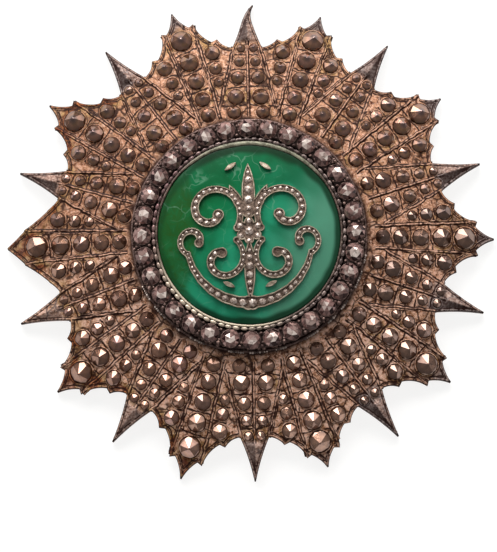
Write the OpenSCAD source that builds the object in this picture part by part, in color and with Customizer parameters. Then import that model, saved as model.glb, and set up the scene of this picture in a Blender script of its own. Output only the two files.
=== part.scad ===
// Breast star of an order: a domed, rayed silver star set with faceted bosses,
// with a raised ring of cut stones round a green enamelled medallion.
// It lies face up on its ray tips. X is to the wearer's left, Y is up the star, Z comes out of its face.
// The top spike points along +Y. The origin is under the middle of the star, on the surface it lies on.

/* [Star] */
// Distance from the star's middle to the tip of a main ray, before wear
ray_tip_r = 42.4; // [41.5:0.1:43]
// Distance from the star's middle to the tip of a spike, before wear
spike_tip_r = 42.3; // [41.5:0.1:42.6]
// Radius of the hollow side of the dome that the star is raised to
dome_r = 155; // [140:5:180]
// Thickness of the silver
plate_t = 1.2; // [1:0.1:1.4]
// Height of the raised lines between the rows of bosses
line_h = 0.22; // [0.15:0.01:0.25]
// Width of the raised lines
line_w = 0.34; // [0.25:0.01:0.36]
// Sideways bend of the damaged tip of the top spike
top_spike_bend = 1.1; // [0:0.1:1.2]

/* [Bosses] */
// Height of a boss, as a share of its width
boss_rise = 0.4; // [0.3:0.01:0.45]
// Clear gap between each boss and the silver under it
seat_gap = 0.06; // [0.05:0.01:0.1]

/* [Medallion] */
// Sideways offset of the medallion from the star's middle, as it was set by hand
medallion_x = -0.35; // [-0.4:0.05:0.3]
// Offset of the medallion up the star from its middle
medallion_y = 0.45; // [-0.3:0.05:0.5]
// Outer radius of the stone ring
ring_r = 20.3; // [20.25:0.05:20.35]
// Number of stones in the ring, a node each
ring_stones = 32; // [32]
// Radius of the circle through the middles of the ring stones
stone_circle_r = 18.4; // [18.4:0.05:18.45]
// Width of a ring stone across its girdle
stone_d = 2.9; // [2.7:0.02:2.94]
// Height of the top of the ring's stone cups above the floor
cup_top_z = 8.5; // [8.3:0.1:8.7]
// Radius of the green enamelled disc
enamel_r = 15.7; // [15.5:0.05:15.7]
// Height of the middle of the enamelled disc above the floor
enamel_top_z = 10; // [9.6:0.1:10.4]
// Rise of the enamelled disc from its edge to its middle
enamel_rise = 1.9; // [1.5:0.1:2.1]
// Height of the ornament above the enamel
ornament_h = 0.55; // [0.4:0.05:0.7]

/* [Pin] */
// Diameter of the pin's bar
bar_d = 2.6; // [2.2:0.1:2.8]
// Distance from the star's middle to the hinge and to the catch
pin_reach = 23; // [20:1:25]
// Clear height of the bar above the surface that the star lies on
pin_lift = 0.5; // [0.4:0.1:0.6]

/* [Hidden] */
$fn = 96;
rays = 10;
ray_step = 360 / rays;
half_step = ray_step / 2;
axes = 2 * rays;
gap = 0.06;
tip_blunt = 0.12;
block = 60;
eps = 0.01;

// Columns of WEAR, one row for each spike and each main ray in turn, anticlockwise from the top spike:
// how much longer than the others it is, and how many degrees it leans anticlockwise.
LONGER = 0;
LEAN = 1;
WEAR = [
    [-0.1, 0],
    [0.6, -0.1],
    [0.1, 0],
    [0.5, 0.5],
    [-0.1, 0.2],
    [0.1, 0.5],
    [0.2, 0.6],
    [0.2, 0.9],
    [0, 0.4],
    [0.6, 0.4],
    [-0.6, -0.2],
    [-1, -0.5],
    [0.1, -0.3],
    [0, -0.6],
    [0, -0.3],
    [0, -0.6],
    [0.1, -0.2],
    [-0.5, 0.1],
    [0.1, 0.2],
    [-0.5, -0.2],
];
wear_from_u = 34.3;

// The dome is a ball's cap whose hollow side comes down to the floor at the longest tip.
function axis_tip_r(k) = (k % 2 == 0 ? spike_tip_r : ray_tip_r) + WEAR[k][LONGER];
longest_r = max([for (k = [0:axes - 1]) axis_tip_r(k)]);
dome_fn = 240;
dome_top_r = dome_r + plate_t;
dome_z = -sqrt(dome_r * dome_r - longest_r * longest_r);
plate_top_z = dome_z + dome_top_r;

// Columns of SCALLOPS, which is half the edge of a main ray from its tip to the notch by the spike.
// Along and across the ray: where a point starts, the dip that its hollow edge ends in, and how hollow it is.
TIP_U = 0;
TIP_V = 1;
DIP_U = 2;
DIP_V = 3;
SAG = 4;
SCALLOPS = [
    [ray_tip_r, tip_blunt, 39.15, 2.05, 0.25],
    [39.5, 2.97, 35.45, 4.98, 0.45],
    [35.6, 6.05, 33.3, 8.12, 0.35],
];
// The main ray on the star's left has its edges worn nearly straight
WORN_RAY = 5;
WORN_SCALLOPS = [
    [ray_tip_r, tip_blunt, 39.5, 2.75, 0.06],
    [39.4, 3.02, 35.4, 6, 0.12],
    [35.2, 6.25, 33.3, 8.12, 0.1],
];
spike_sag = 0.22;
edge_steps = 6;

// Columns of the boss tables: distance from the star's middle, offset across the ray, width.
BOSS_U = 0;
BOSS_V = 1;
BOSS_D = 2;
MIDDLE_BOSSES = [
    [37.2, 0, 3.85],
    [33.1, 0, 3.3],
    [29.4, 0, 2.95],
    [25.9, 0, 2.7],
    [22.8, 0, 2.6],
];
SIDE_BOSSES = [
    [33.5, 4.4, 2.7],
    [30.5, 4, 2.2],
    [28, 3.75, 1.75],
];
SPIKE_BOSSES = [
    [34, 1.1, 1.55],
    [31.45, 1.4, 1.85],
    [28.5, 1.75, 2.35],
    [24.95, 2.15, 2.9],
    [22.15, 2.5, 2.4],
];
boss_sides = 8;
boss_shoulder_z = 0.55;
boss_shoulder_r = 0.72;
boss_table_r = 0.17;
row_turn = 31;
axis_turn = 13;

// Columns of SPIKE_ROOF, the ridged back of a spike: distance from the middle, half width, ridge height.
ROOF_U = 0;
ROOF_W = 1;
ROOF_H = 2;
SPIKE_ROOF = [
    [35.2, 2.02, 0.2],
    [35.9, 1.75, 0.75],
    [37.9, 1.12, 0.65],
    [39.6, 0.64, 0.5],
    [40.9, 0.3, 0.35],
    [41.8, 0.1, 0.22],
];
roof_sink = 0.35;
roof_edge = 0.04;
bend_start_u = 38;
bend_power = 3;

// Raised lines, each from one [along, across] point to another on its ray
BAND_LINE = [[21.4, 1.85], [39.2, 2.82]];
SPIKE_LINE = [[34.3, 2.35], [22.6, 5.05]];
RIDGE_LINE = [[21.4, 0], [35.6, 0]];
line_sink = 0.15;

stone_gap = 0.08;
cup_wall = 0.1;
cup_r = stone_d / 2 + stone_gap + cup_wall;
cup_floor_z = 7.6;
ring_body_z = 7.75;
ring_inner_r = 16.86;
rim_wire_r = 0.22;
rim_web = 0.13;
stone_sides = 8;
stone_turn = 17;
// Columns of STONE_CUT: height as a share of the stone's, and radius as a share of its girdle's.
STONE_CUT = [[0, 0.7], [0.5, 1], [0.78, 0.78], [1, 0.36]];
stone_h = 1.5;

bezel_wall = 0.4;
bezel_outer_r = enamel_r + gap + bezel_wall;
bezel_top_z = 8.35;
ledge_inner_r = 14.2;
milled_wire_r = 0.25;
milled_circle_r = bezel_outer_r + gap + milled_wire_r;
milled_z = 8.15;
enamel_under_z = plate_top_z + gap;
enamel_ball_r = (enamel_r * enamel_r + enamel_rise * enamel_rise) / (2 * enamel_rise);
enamel_ball_z = enamel_top_z - enamel_ball_r;

// Columns of SCROLLS, the spiral strokes of the ornament's right half: the spiral's middle,
// its radius, angle and stroke width where it starts, and the same three where it ends, anticlockwise.
SCROLL_X = 0;
SCROLL_Y = 1;
START = 2;
END = 3;
SCROLLS = [
    [0, -1.3, [10.8, -92, 2.1], [10.8, -12, 0.95]],
    [9.7, -1.3, [2.45, -66, 0.95], [1.15, 200, 1.4]],
    [6.3, 3.7, [1.25, -150, 1.7], [5.2, 215, 1.1]],
    [4.7, -4.6, [4.1, 128, 1], [1.1, 448, 1.6]],
];
scroll_step = 14;
scroll_knob = 1.16;
// Columns of the leaf tables: the leaf's foot, the angle it points to, its length and width.
// Side leaves are drawn on both sides.
LEAF_X = 0;
LEAF_Y = 1;
LEAF_ANGLE = 2;
LEAF_L = 3;
LEAF_W = 4;
MIDDLE_LEAVES = [
    [0, 1.8, 90, 10.3, 2.3],
    [0, -12, 90, 11, 1.9],
];
SIDE_LEAVES = [
    [0.4, 2.4, 64, 6.6, 1.7],
    [4, 10.9, 146, 2.4, 0.75],
    [2.6, -9.4, 25, 2.2, 0.75],
];
petals = 6;
petal_r = 0.85;
petal_circle_r = 1.45;
rosette_y = 0.2;

catch_wall = 0.7;
catch_len = 3;
hinge_len = 5;
hinge_w = 3.4;
foot_w = 2.6;
foot_h = 6;
needle_tip_r = 0.4;
needle_over = 2.6;
taper_y = -3;
bar_groove = 0.22;
groove_w = 1.6;
punch_d = 1;
punch_depth = 0.22;
punch_y = 9;
bar_z = pin_lift + bar_d / 2;

STONE_NODES = [for (i = [1:ring_stones]) str("ring_stone_", i < 10 ? "0" : "", i)];

// Points of a hollow edge from a to b, bowed sideways by sag, without b
function hollow_edge(a, b, sag, steps) =
    let (d = b - a, side = [-d[1], d[0]] / norm(d))
    [for (i = [0:steps - 1]) let (t = i / steps) a + d * t + side * (4 * sag * t * (1 - t))];

function turned(p, angle) =
    [p[0] * cos(angle) - p[1] * sin(angle), p[0] * sin(angle) + p[1] * cos(angle)];

function flipped(points) = [for (i = [len(points) - 1:-1:0]) [points[i][0], -points[i][1]]];

// Where a point [along, across] of axis k comes to lie on the star, with that axis's length and lean.
// Between two axes the lean changes evenly from the one to the other.
function placed(k, p) =
    let (
        stretch = WEAR[k][LONGER] * max(0, p[0] - wear_from_u) / (ray_tip_r - wear_from_u),
        q = [p[0] + stretch, p[1]],
        angle = atan2(q[1], q[0]),
        share = abs(angle) / half_step,
        beside = (k + (angle < 0 ? -1 : 1) + axes) % axes,
        lean = WEAR[k][LEAN] * (1 - share) + WEAR[beside][LEAN] * share
    )
    turned(q, 90 + k * half_step + lean);

// Bends the tip of a spike sideways: a point is [along the spike, across it]
function bent(k, p) =
    let (bend = k == 0 ? top_spike_bend : 0)
    let (t = max(0, (p[0] - bend_start_u) / (spike_tip_r - bend_start_u)))
    [p[0], p[1] - bend * pow(t, bend_power)];

// Half the edge of the main ray on axis k, on its + side, from its tip to the notch
function ray_half(k) = concat(
    [for (row = k == WORN_RAY ? WORN_SCALLOPS : SCALLOPS)
        each concat(
            hollow_edge([row[TIP_U], row[TIP_V]], [row[DIP_U], row[DIP_V]], row[SAG], edge_steps),
            [[row[DIP_U], row[DIP_V]]]
        )]
);

// One edge of a spike in its own axis, from the notch to the tip, on its - side
function spike_half() =
    let (notch = turned([SCALLOPS[2][DIP_U], SCALLOPS[2][DIP_V]], -half_step))
    hollow_edge(notch, [spike_tip_r, -tip_blunt], spike_sag, edge_steps + 2);

function spike_outline(k) =
    let (side = spike_half(), blunt = [[spike_tip_r, -tip_blunt], [spike_tip_r, tip_blunt]])
    [for (p = concat(side, blunt, flipped(side))) bent(k, p)];

// The star's outline: even axes are spikes and odd ones main rays, anticlockwise from the top
function star_outline() = [
    for (k = [0:axes - 1])
        for (p = k % 2 == 0 ? spike_outline(k) : concat(flipped(ray_half(k)), ray_half(k))) placed(k, p)
];

// A closed solid of n-sided rings: each row is [height, radius]
module ringed_solid(rows, n) {
    last = len(rows) - 1;
    points = [for (row = rows) for (i = [0:n - 1])
        [row[1] * cos(360 * i / n), row[1] * sin(360 * i / n), row[0]]];
    sides = [for (k = [0:last - 1]) for (i = [0:n - 1])
        [k * n + i, (k + 1) * n + i, (k + 1) * n + (i + 1) % n, k * n + (i + 1) % n]];
    foot = [for (i = [0:n - 1]) i];
    table = [for (i = [n - 1:-1:0]) last * n + i];
    polyhedron(points, concat(sides, [foot, table]));
}

// Space between two balls round the dome's centre
module dome_shell(inner_r, outer_r) {
    translate([0, 0, dome_z]) difference() {
        sphere(outer_r, $fn = dome_fn);
        sphere(inner_r, $fn = dome_fn);
    }
}

module dome_ball(r) {
    translate([0, 0, dome_z]) sphere(r, $fn = dome_fn);
}

// Stands its children on the dome at point p of axis k, square to the silver
module on_dome(k, p) {
    q = placed(k, p);
    translate([0, 0, dome_z])
        rotate([0, 0, atan2(q[1], q[0])])
            rotate([0, asin(norm(q) / dome_top_r), 0])
                translate([0, 0, dome_top_r + seat_gap])
                    children();
}

// A straight line between two points of axis k
module line_strip(k, ends) {
    from = placed(k, ends[0]);
    d = placed(k, ends[1]) - from;
    translate(from) rotate(atan2(d[1], d[0])) translate([0, -line_w / 2]) square([norm(d), line_w]);
}

module line_pair(k, ends) {
    line_strip(k, ends);
    line_strip(k, [for (p = ends) [p[0], -p[1]]]);
}

module line_pattern() {
    for (k = [0:2:axes - 1]) {
        line_pair(k, SPIKE_LINE);
        line_strip(k, RIDGE_LINE);
        line_pair(k + 1, BAND_LINE);
    }
}

// The ridged back of the spike on axis k, lofted through triangles and sunk into the plate
module spike_roof(k) {
    n = 5;
    last = len(SPIKE_ROOF) - 1;
    points = [for (row = SPIKE_ROOF)
        let (
            u = row[ROOF_U],
            z = sqrt(dome_top_r * dome_top_r - u * u) + dome_z,
            left = placed(k, bent(k, [u, -row[ROOF_W]])),
            ridge = placed(k, bent(k, [u, 0])),
            right = placed(k, bent(k, [u, row[ROOF_W]]))
        )
        each [
            [left[0], left[1], z - roof_sink],
            [left[0], left[1], z + roof_edge],
            [ridge[0], ridge[1], z + row[ROOF_H]],
            [right[0], right[1], z + roof_edge],
            [right[0], right[1], z - roof_sink],
        ]];
    sides = [for (i = [0:last - 1]) for (j = [0:n - 1])
        [i * n + j, i * n + (j + 1) % n, (i + 1) * n + (j + 1) % n, (i + 1) * n + j]];
    polyhedron(points, concat(sides, [[4, 3, 2, 1, 0]], [[for (j = [0:n - 1]) last * n + j]]));
}

module star_plate() {
    color("rosybrown") union() {
        intersection() {
            linear_extrude(block) polygon(star_outline());
            dome_shell(dome_r, dome_top_r);
        }
        intersection() {
            linear_extrude(block) line_pattern();
            dome_shell(dome_top_r - line_sink, dome_top_r + line_h);
        }
        for (k = [0:2:axes - 1]) spike_roof(k);
    }
}

// A boss cut with eight steep facets, eight flatter ones and a small table
module boss(d) {
    r = d / 2;
    h = d * boss_rise;
    ringed_solid([[0, r], [boss_shoulder_z * h, boss_shoulder_r * r], [h, boss_table_r * r]], boss_sides);
}

// A row of bosses along axis k, on one side of it or on its middle, each turned its own way
module boss_row(k, rows, side) {
    for (i = [0:len(rows) - 1])
        on_dome(k, [rows[i][BOSS_U], side * rows[i][BOSS_V]])
            rotate(i * row_turn + k * axis_turn * side) boss(rows[i][BOSS_D]);
}

module ray_bosses() {
    color("dimgray") for (k = [1:2:axes - 1]) {
        boss_row(k, MIDDLE_BOSSES, 1);
        for (side = [-1, 1]) boss_row(k, SIDE_BOSSES, side);
    }
}

module spike_bosses() {
    color("gray") for (k = [0:2:axes - 1], side = [-1, 1]) boss_row(k, SPIKE_BOSSES, side);
}

module at_medallion() {
    translate([medallion_x, medallion_y, 0]) children();
}

module at_stone(i) {
    at_medallion() rotate(90 + (i - 1) * 360 / ring_stones) translate([stone_circle_r, 0, 0]) children();
}

// The silver ring: a band fitted to the dome, a wire round its foot and a cup for each stone
module stone_ring() {
    color("slategray") difference() {
        union() {
            at_medallion() rotate_extrude() {
                translate([ring_inner_r, 0]) square([ring_r - rim_wire_r - ring_inner_r, ring_body_z]);
                translate([ring_r - rim_wire_r, ring_body_z - rim_wire_r]) circle(rim_wire_r);
                translate([ring_r - rim_wire_r - eps, 0])
                    square([rim_web, ring_body_z - rim_wire_r]);
            }
            for (i = [1:ring_stones]) at_stone(i) cylinder(r = cup_r, h = cup_top_z);
        }
        for (i = [1:ring_stones]) at_stone(i)
            translate([0, 0, cup_floor_z]) cylinder(r = cup_r - cup_wall, h = block);
        dome_ball(dome_top_r + gap);
    }
}

// A cut stone: eight facets under the girdle, eight steep and eight flat ones above it, and a table
module ring_stone(i) {
    color("thistle") at_stone(i) translate([0, 0, cup_floor_z + gap]) rotate(i * stone_turn)
        ringed_solid([for (row = STONE_CUT) [row[0] * stone_h, row[1] * stone_d / 2]], stone_sides);
}

module milled_rim() {
    color("silver") at_medallion() rotate_extrude() {
        translate([milled_circle_r, milled_z]) circle(milled_wire_r);
    }
}

// The setting of the enamel: a wall fitted to the dome with a ledge that the disc sits on
module bezel() {
    color("rosybrown") difference() {
        at_medallion() rotate_extrude() {
            translate([bezel_outer_r - bezel_wall, 0]) square([bezel_wall, bezel_top_z]);
            translate([ledge_inner_r, 0]) square([bezel_outer_r - ledge_inner_r, enamel_under_z - gap]);
        }
        dome_ball(dome_top_r + gap);
    }
}

module enamel_ball(extra) {
    translate([0, 0, enamel_ball_z]) sphere(enamel_ball_r + extra, $fn = dome_fn);
}

module enamel_disc() {
    color("seagreen") at_medallion() intersection() {
        translate([0, 0, enamel_under_z]) cylinder(r = enamel_r, h = block);
        enamel_ball(0);
    }
}

// A leaf with two pointed ends, from the origin along X
module leaf(length, width) {
    r = (length * length + width * width) / (4 * width);
    translate([length / 2, 0]) intersection() {
        translate([0, r - width / 2]) circle(r);
        translate([0, width / 2 - r]) circle(r);
    }
}

module placed_leaf(row) {
    translate([row[LEAF_X], row[LEAF_Y]]) rotate(row[LEAF_ANGLE]) leaf(row[LEAF_L], row[LEAF_W]);
}

// A stroke along a spiral, with a round knob at each end: start and end are [radius, angle, width]
module scroll(start, end) {
    steps = ceil(abs(end[1] - start[1]) / scroll_step);
    rows = [for (i = [0:steps]) start + (end - start) * i / steps];
    outer = [for (row = rows) turned([row[0] + row[2] / 2, 0], row[1])];
    inner = [for (i = [steps:-1:0]) turned([rows[i][0] - rows[i][2] / 2, 0], rows[i][1])];
    polygon(concat(outer, inner));
    for (row = [start, end]) rotate(row[1]) translate([row[0], 0]) circle(d = row[2] * scroll_knob, $fn = 24);
}

// Scrolls, leaves and a rosette, the same on the left as on the right
module ornament_outline() {
    for (side = [0, 1]) mirror([side, 0]) {
        for (row = SCROLLS) translate([row[SCROLL_X], row[SCROLL_Y]]) scroll(row[START], row[END]);
        for (row = SIDE_LEAVES) placed_leaf(row);
    }
    for (row = MIDDLE_LEAVES) placed_leaf(row);
    translate([0, rosette_y]) {
        circle(petal_circle_r);
        for (i = [1:petals]) rotate(90 + i * 360 / petals) translate([petal_circle_r, 0]) circle(petal_r);
    }
}

module ornament() {
    color("silver") at_medallion() intersection() {
        linear_extrude(block) ornament_outline();
        difference() {
            enamel_ball(gap + ornament_h);
            enamel_ball(gap);
        }
    }
}

// The pin at the back, one plain piece: hinge, grooved bar, point and catch
module pin() {
    color("silver") intersection() {
        difference() {
            union() {
                translate([0, pin_reach, bar_z]) rotate([90, 0, 0])
                    cylinder(d = bar_d, h = pin_reach - taper_y);
                translate([0, taper_y + eps, bar_z]) rotate([90, 0, 0])
                    cylinder(r1 = bar_d / 2, r2 = needle_tip_r, h = pin_reach + taper_y + needle_over);
                translate([-hinge_len / 2, pin_reach, bar_z]) rotate([0, 90, 0])
                    cylinder(d = hinge_w, h = hinge_len);
                translate([-hinge_len / 2, pin_reach - foot_w / 2, bar_z]) cube([hinge_len, foot_w, foot_h]);
                translate([-catch_len / 2, -pin_reach, bar_z - needle_tip_r - catch_wall])
                    cube([catch_len, catch_wall * 2, foot_h + catch_wall]);
            }
            translate([-bar_d, taper_y + 1, bar_z - bar_groove])
                cube([groove_w, pin_reach - taper_y - foot_w - 1, bar_groove]);
            translate([0, punch_y, bar_z - bar_d / 2 - 1]) cylinder(d = punch_d, h = 1 + punch_depth);
        }
        dome_ball(dome_r - gap);
    }
}

star_plate();
ray_bosses();
spike_bosses();
stone_ring();
milled_rim();
bezel();
enamel_disc();
ornament();
pin();
for (i = [1:ring_stones]) ring_stone(i);
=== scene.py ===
"""The looks of the breast star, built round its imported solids.

Lengths in the tables are millimetres, in the frame of the solids: X to the right, Y up the star,
Z out of its face. A point of a ray or spike is (along, across) its own axis. Angles are degrees.
"""

import math
import random

import bpy
import numpy as np
from mathutils import Matrix, Vector, kdtree, noise
from mathutils.geometry import delaunay_2d_cdt


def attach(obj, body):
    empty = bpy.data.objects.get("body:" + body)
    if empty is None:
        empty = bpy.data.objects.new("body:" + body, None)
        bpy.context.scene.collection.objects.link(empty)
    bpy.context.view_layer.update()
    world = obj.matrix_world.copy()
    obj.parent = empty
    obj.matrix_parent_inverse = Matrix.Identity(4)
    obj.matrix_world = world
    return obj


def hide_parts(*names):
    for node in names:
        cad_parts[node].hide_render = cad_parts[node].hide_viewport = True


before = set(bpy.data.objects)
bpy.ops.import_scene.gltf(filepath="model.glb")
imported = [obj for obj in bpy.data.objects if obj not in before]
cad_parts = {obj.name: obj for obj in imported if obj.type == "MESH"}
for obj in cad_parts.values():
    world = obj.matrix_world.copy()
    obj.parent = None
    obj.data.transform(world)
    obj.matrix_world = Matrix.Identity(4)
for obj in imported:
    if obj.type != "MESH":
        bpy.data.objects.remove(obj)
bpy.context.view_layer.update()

MM = 0.001

# The star's outline and dome, as in the solids
RAY_TIP_R = 42.4
SPIKE_TIP_R = 42.3
TIP_BLUNT = 0.12
DOME_R = 155
PLATE_T = 1.2
DOME_TOP_R = DOME_R + PLATE_T
LONGEST_R = 43.0
DOME_Z = -math.sqrt(DOME_R ** 2 - LONGEST_R ** 2)
AXES = 20
HALF_STEP = 360 / AXES

# (longer, lean): how much longer each axis is, and how many degrees it leans, from the top spike round
WEAR = [
    (-0.1, 0), (0.6, -0.1), (0.1, 0), (0.5, 0.5), (-0.1, 0.2),
    (0.1, 0.5), (0.2, 0.6), (0.2, 0.9), (0, 0.4), (0.6, 0.4),
    (-0.6, -0.2), (-1, -0.5), (0.1, -0.3), (0, -0.6), (0, -0.3),
    (0, -0.6), (0.1, -0.2), (-0.5, 0.1), (0.1, 0.2), (-0.5, -0.2),
]
WEAR_FROM_U = 34.3
BEND = 1.1
BEND_FROM_U = 38
BEND_POWER = 3

# (tip along, tip across, dip along, dip across, sag) of half a main ray's edge
SCALLOPS = [
    (42.4, 0.12, 39.15, 2.05, 0.25),
    (39.5, 2.97, 35.45, 4.98, 0.45),
    (35.6, 6.05, 33.3, 8.12, 0.35),
]
# The main ray on the star's left has its edges worn nearly straight
WORN_RAY = 5
WORN_SCALLOPS = [
    (42.4, 0.12, 39.5, 2.75, 0.06),
    (39.4, 3.02, 35.4, 6, 0.12),
    (35.2, 6.25, 33.3, 8.12, 0.1),
]
SPIKE_SAG = 0.22
# (along, half width, height) of the ridged back of a spike
SPIKE_ROOF = [
    (35.2, 2.02, 0.2), (35.9, 1.75, 0.75), (37.9, 1.12, 0.65),
    (39.6, 0.64, 0.5), (40.9, 0.3, 0.35), (41.8, 0.1, 0.22),
]
ROOF_U, ROOF_WIDTH, ROOF_HEIGHT = zip(*SPIKE_ROOF)

# (along, across, width) of the bosses
MIDDLE_BOSSES = [(37.2, 0, 3.85), (33.1, 0, 3.3), (29.4, 0, 2.95), (25.9, 0, 2.7), (22.8, 0, 2.6)]
SIDE_BOSSES = [(33.5, 4.4, 2.7), (30.5, 4, 2.2), (28, 3.75, 1.75)]
SPIKE_BOSSES = [(34, 1.1, 1.55), (31.45, 1.4, 1.85), (28.5, 1.75, 2.35), (24.95, 2.15, 2.9),
                (22.15, 2.5, 2.4)]
BOSS_RISE = 0.4
SEAT_GAP = 0.06
# How much each boss is turned against the one before it, in its row and from axis to axis
ROW_TURN = 31
AXIS_TURN = 13
# (out from the boss, height, grime and painted shadow) of the seat that is raised round each boss
SEAT = [(-0.05, 0.02, 1), (0.05, 0.09, 0.5), (0.13, 0.08, 0), (0.24, -0.03, 0.4)]
SEAT_STEPS = 26

# Raised lines, each from one (along, across) point to another
BAND_LINE = ((21.4, 1.85), (39.2, 2.82))
SPIKE_LINE = ((34.3, 2.35), (22.6, 5.05))
RIDGE_LINE = ((21.4, 0), (35.4, 0))
DOUBLE_OFFSET = 0.42
LINE_STEP = 0.19
# Farther than this from its axis, silver belongs no longer to a spike
SPIKE_HALF_WIDTH = 2.1
# (across, height, grime and painted shade) of the profiles of the lines that are swept over the silver
RAISED = [(-0.45, -0.03, 0.3), (-0.38, 0.01, 1), (-0.15, 0.02, 1), (-0.1, 0.13, 0.2), (-0.03, 0.18, 0),
          (0.05, 0.18, 0), (0.11, 0.13, 0.2), (0.16, 0.02, 0.9), (0.27, 0.01, 0.9), (0.36, -0.03, 0.2)]
DOUBLE = [(-0.28, -0.03, 0.2), (-0.2, 0.02, 1), (-0.09, 0.02, 1), (-0.03, 0.12, 0),
          (0.05, 0.12, 0), (0.12, 0.02, 0.8), (0.2, -0.03, 0.3)]
CREASE = [(-0.26, -0.03, 0.2), (-0.18, 0.05, 0), (-0.1, 0.02, 1), (0.1, 0.02, 1),
          (0.18, 0.05, 0), (0.26, -0.03, 0.2)]
EDGE_BEAD = [(-0.2, -0.08, 1), (-0.13, 0.04, 1), (-0.07, 0.1, 0.1), (0.04, 0.13, 0), (0.12, 0.08, 0.3),
             (0.17, 0.02, 1), (0.3, 0.01, 1), (0.38, -0.03, 0.5)]

# How close the points of the silver lie: along its edge, on its face and on its back
EDGE_STEP = 0.16
GRID_STEP = 0.27
BACK_STEP = 1.1
GRID_HALF = 44
# How far inside the edge its rim, the second rim of the main rays and the spikes' grains lie
RIM_IN = 0.2
SECOND_RIM_IN = 0.66
GRAINS_IN = 0.17
GRAIN_PITCH = 0.33

# The medallion
MEDALLION = (-0.35, 0.45)
MEDALLION_FOOT_Z = 7.3
STONES = 32
STONE_CIRCLE_R = 18.4
STONE_H = 1.5
STONE_FOOT_Z = 7.66
STONE_LOOK_R = 1.56
CUP_R = 1.63
CUP_TOP_Z = 8.5
CUP_STEPS = 20
RING_R = 20.3
RING_INNER_R = 16.86
RING_BODY_Z = 7.75
RING_FOOT_Z = 6.35
# (radius, height, dirt) of the ring's body and of a stone's cup
RING_BODY = [(RING_R - 0.5, RING_FOOT_Z, 1), (RING_R - 0.5, RING_BODY_Z - 0.45, 0.9),
             (RING_R - 0.9, RING_BODY_Z, 0.8), (RING_INNER_R + 0.3, RING_BODY_Z, 0.9),
             (RING_INNER_R, RING_BODY_Z - 0.2, 1), (RING_INNER_R, RING_FOOT_Z, 1)]
CUP = [(CUP_R, RING_BODY_Z - 0.9, 1), (CUP_R, CUP_TOP_Z - 0.3, 0.6), (CUP_R - 0.05, CUP_TOP_Z - 0.16, 0.2),
       (CUP_R - 0.12, CUP_TOP_Z - 0.2, 0.8), (CUP_R - 0.14, CUP_TOP_Z - 0.5, 1)]
# (circle, size) of the three grains between two cups
CUP_GRAINS = ((RING_R - 0.8, 0.36), (RING_R - 1.35, 0.25), (RING_INNER_R + 0.42, 0.28))
OUTER_GRAINS = 176
GRAIN_POST = 0.45
# (from, to, step) in degrees of the grains on the wire round the ring's foot
FOOT_GRAINS = (205, 352, 1.15)
BEZEL_OUTER_R = 16.16
BEZEL_INNER_R = 15.76
BEZEL_TOP_Z = 8.35
# How finely the ring's body, the bezel and the milled wire are turned, and the enamel from its middle out
RING_STEPS = 288
BEZEL_STEPS = 300
MILLED_STEPS = 240
ENAMEL_STEPS = 224
ENAMEL_RINGS = 64
MILLED_R = 16.47
MILLED_Z = 8.15
MILLED_BEADS = 80
# Half the length, half the width and the height of a milled bead
MILLED_BEAD = (0.6, 0.33, 0.25)
# Where the milled wire and the bezel turn another colour, in degrees
MILLED_CREAM_AT = 235
MILLED_PINK_AT = 175
BEZEL_OLIVE_AT = 84
BEZEL_CREAM_AT = 242
ENAMEL_R = 15.7
ENAMEL_TOP_Z = 10
ENAMEL_FOOT_Z = 7.4
ENAMEL_RISE = 1.9
ENAMEL_BALL_R = (ENAMEL_R ** 2 + ENAMEL_RISE ** 2) / (2 * ENAMEL_RISE)
ENAMEL_BALL_Z = ENAMEL_TOP_Z - ENAMEL_BALL_R
ORNAMENT_GAP = 0.06
ORNAMENT_H = 0.55
WALL = 0.24
BED_DEPTH = 0.3
# A form of the ornament whose outline is shorter than this has no channel
PLAIN_LENGTH = 6
# A face whose normal rises more than this looks up
UPWARD = 0.7
# (share of the wall's thickness, height, dirt) of the ornament's walls
WALL_ROWS = ((0, -ORNAMENT_H, 0.9), (0, -0.08, 0.2), (0.25, 0, 0), (0.75, -0.01, 0),
             (1, -0.1, 0.5), (1.1, -BED_DEPTH - 0.1, 1))

# (middle x, middle y, (radius, angle, width) at the start, the same at the end) of a scroll
SCROLLS = [
    (0, -1.3, (10.8, -92, 2.1), (10.8, -12, 0.95)),
    (9.7, -1.3, (2.45, -66, 0.95), (1.15, 200, 1.4)),
    (6.3, 3.7, (1.25, -150, 1.7), (5.2, 215, 1.1)),
    (4.7, -4.6, (4.1, 128, 1), (1.1, 448, 1.6)),
]
# (foot x, foot y, angle, length, width) of a leaf
MIDDLE_LEAVES = [(0, 1.8, 90, 10.3, 2.3), (0, -12, 90, 11, 1.9)]
SIDE_LEAVES = [(0.4, 2.4, 64, 6.6, 1.7)]
ROSETTE_Y = 0.2
PETALS = 6
PETAL_CIRCLE_R = 1.75
SCROLL_STEPS = 160
LEAF_STEPS = 80
# The least and the greatest width of a small stone, and the gap between two of them
SMALL_STONE_MIN, SMALL_STONE_MAX = 0.5, 1.5
SMALL_STONE_GAP = 0.22

# (grey of the tip, rust near the edge, darkness all over) of each axis, from the top spike round
TARNISH = [
    (0.9, 0.5, 0), (0.9, 0.4, 0), (1, 0.3, 0.3), (0.1, 0.9, 0.3), (0.9, 0.2, 0.1),
    (0.1, 0.9, 0.5), (0.45, 0.3, 0.15), (0.1, 0.9, 0.35), (0.7, 0.3, 0), (0.1, 0.6, 0.1),
    (0.8, 0.2, 0.1), (0.4, 0.1, 0), (1, 0.1, 0.8), (0.9, 0.2, 0.7), (1, 0.1, 0.9),
    (1, 0.2, 1), (1, 0.1, 0.4), (1, 0.1, 0.15), (1, 0.2, 0.1), (1, 0.3, 0.2),
]

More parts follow.
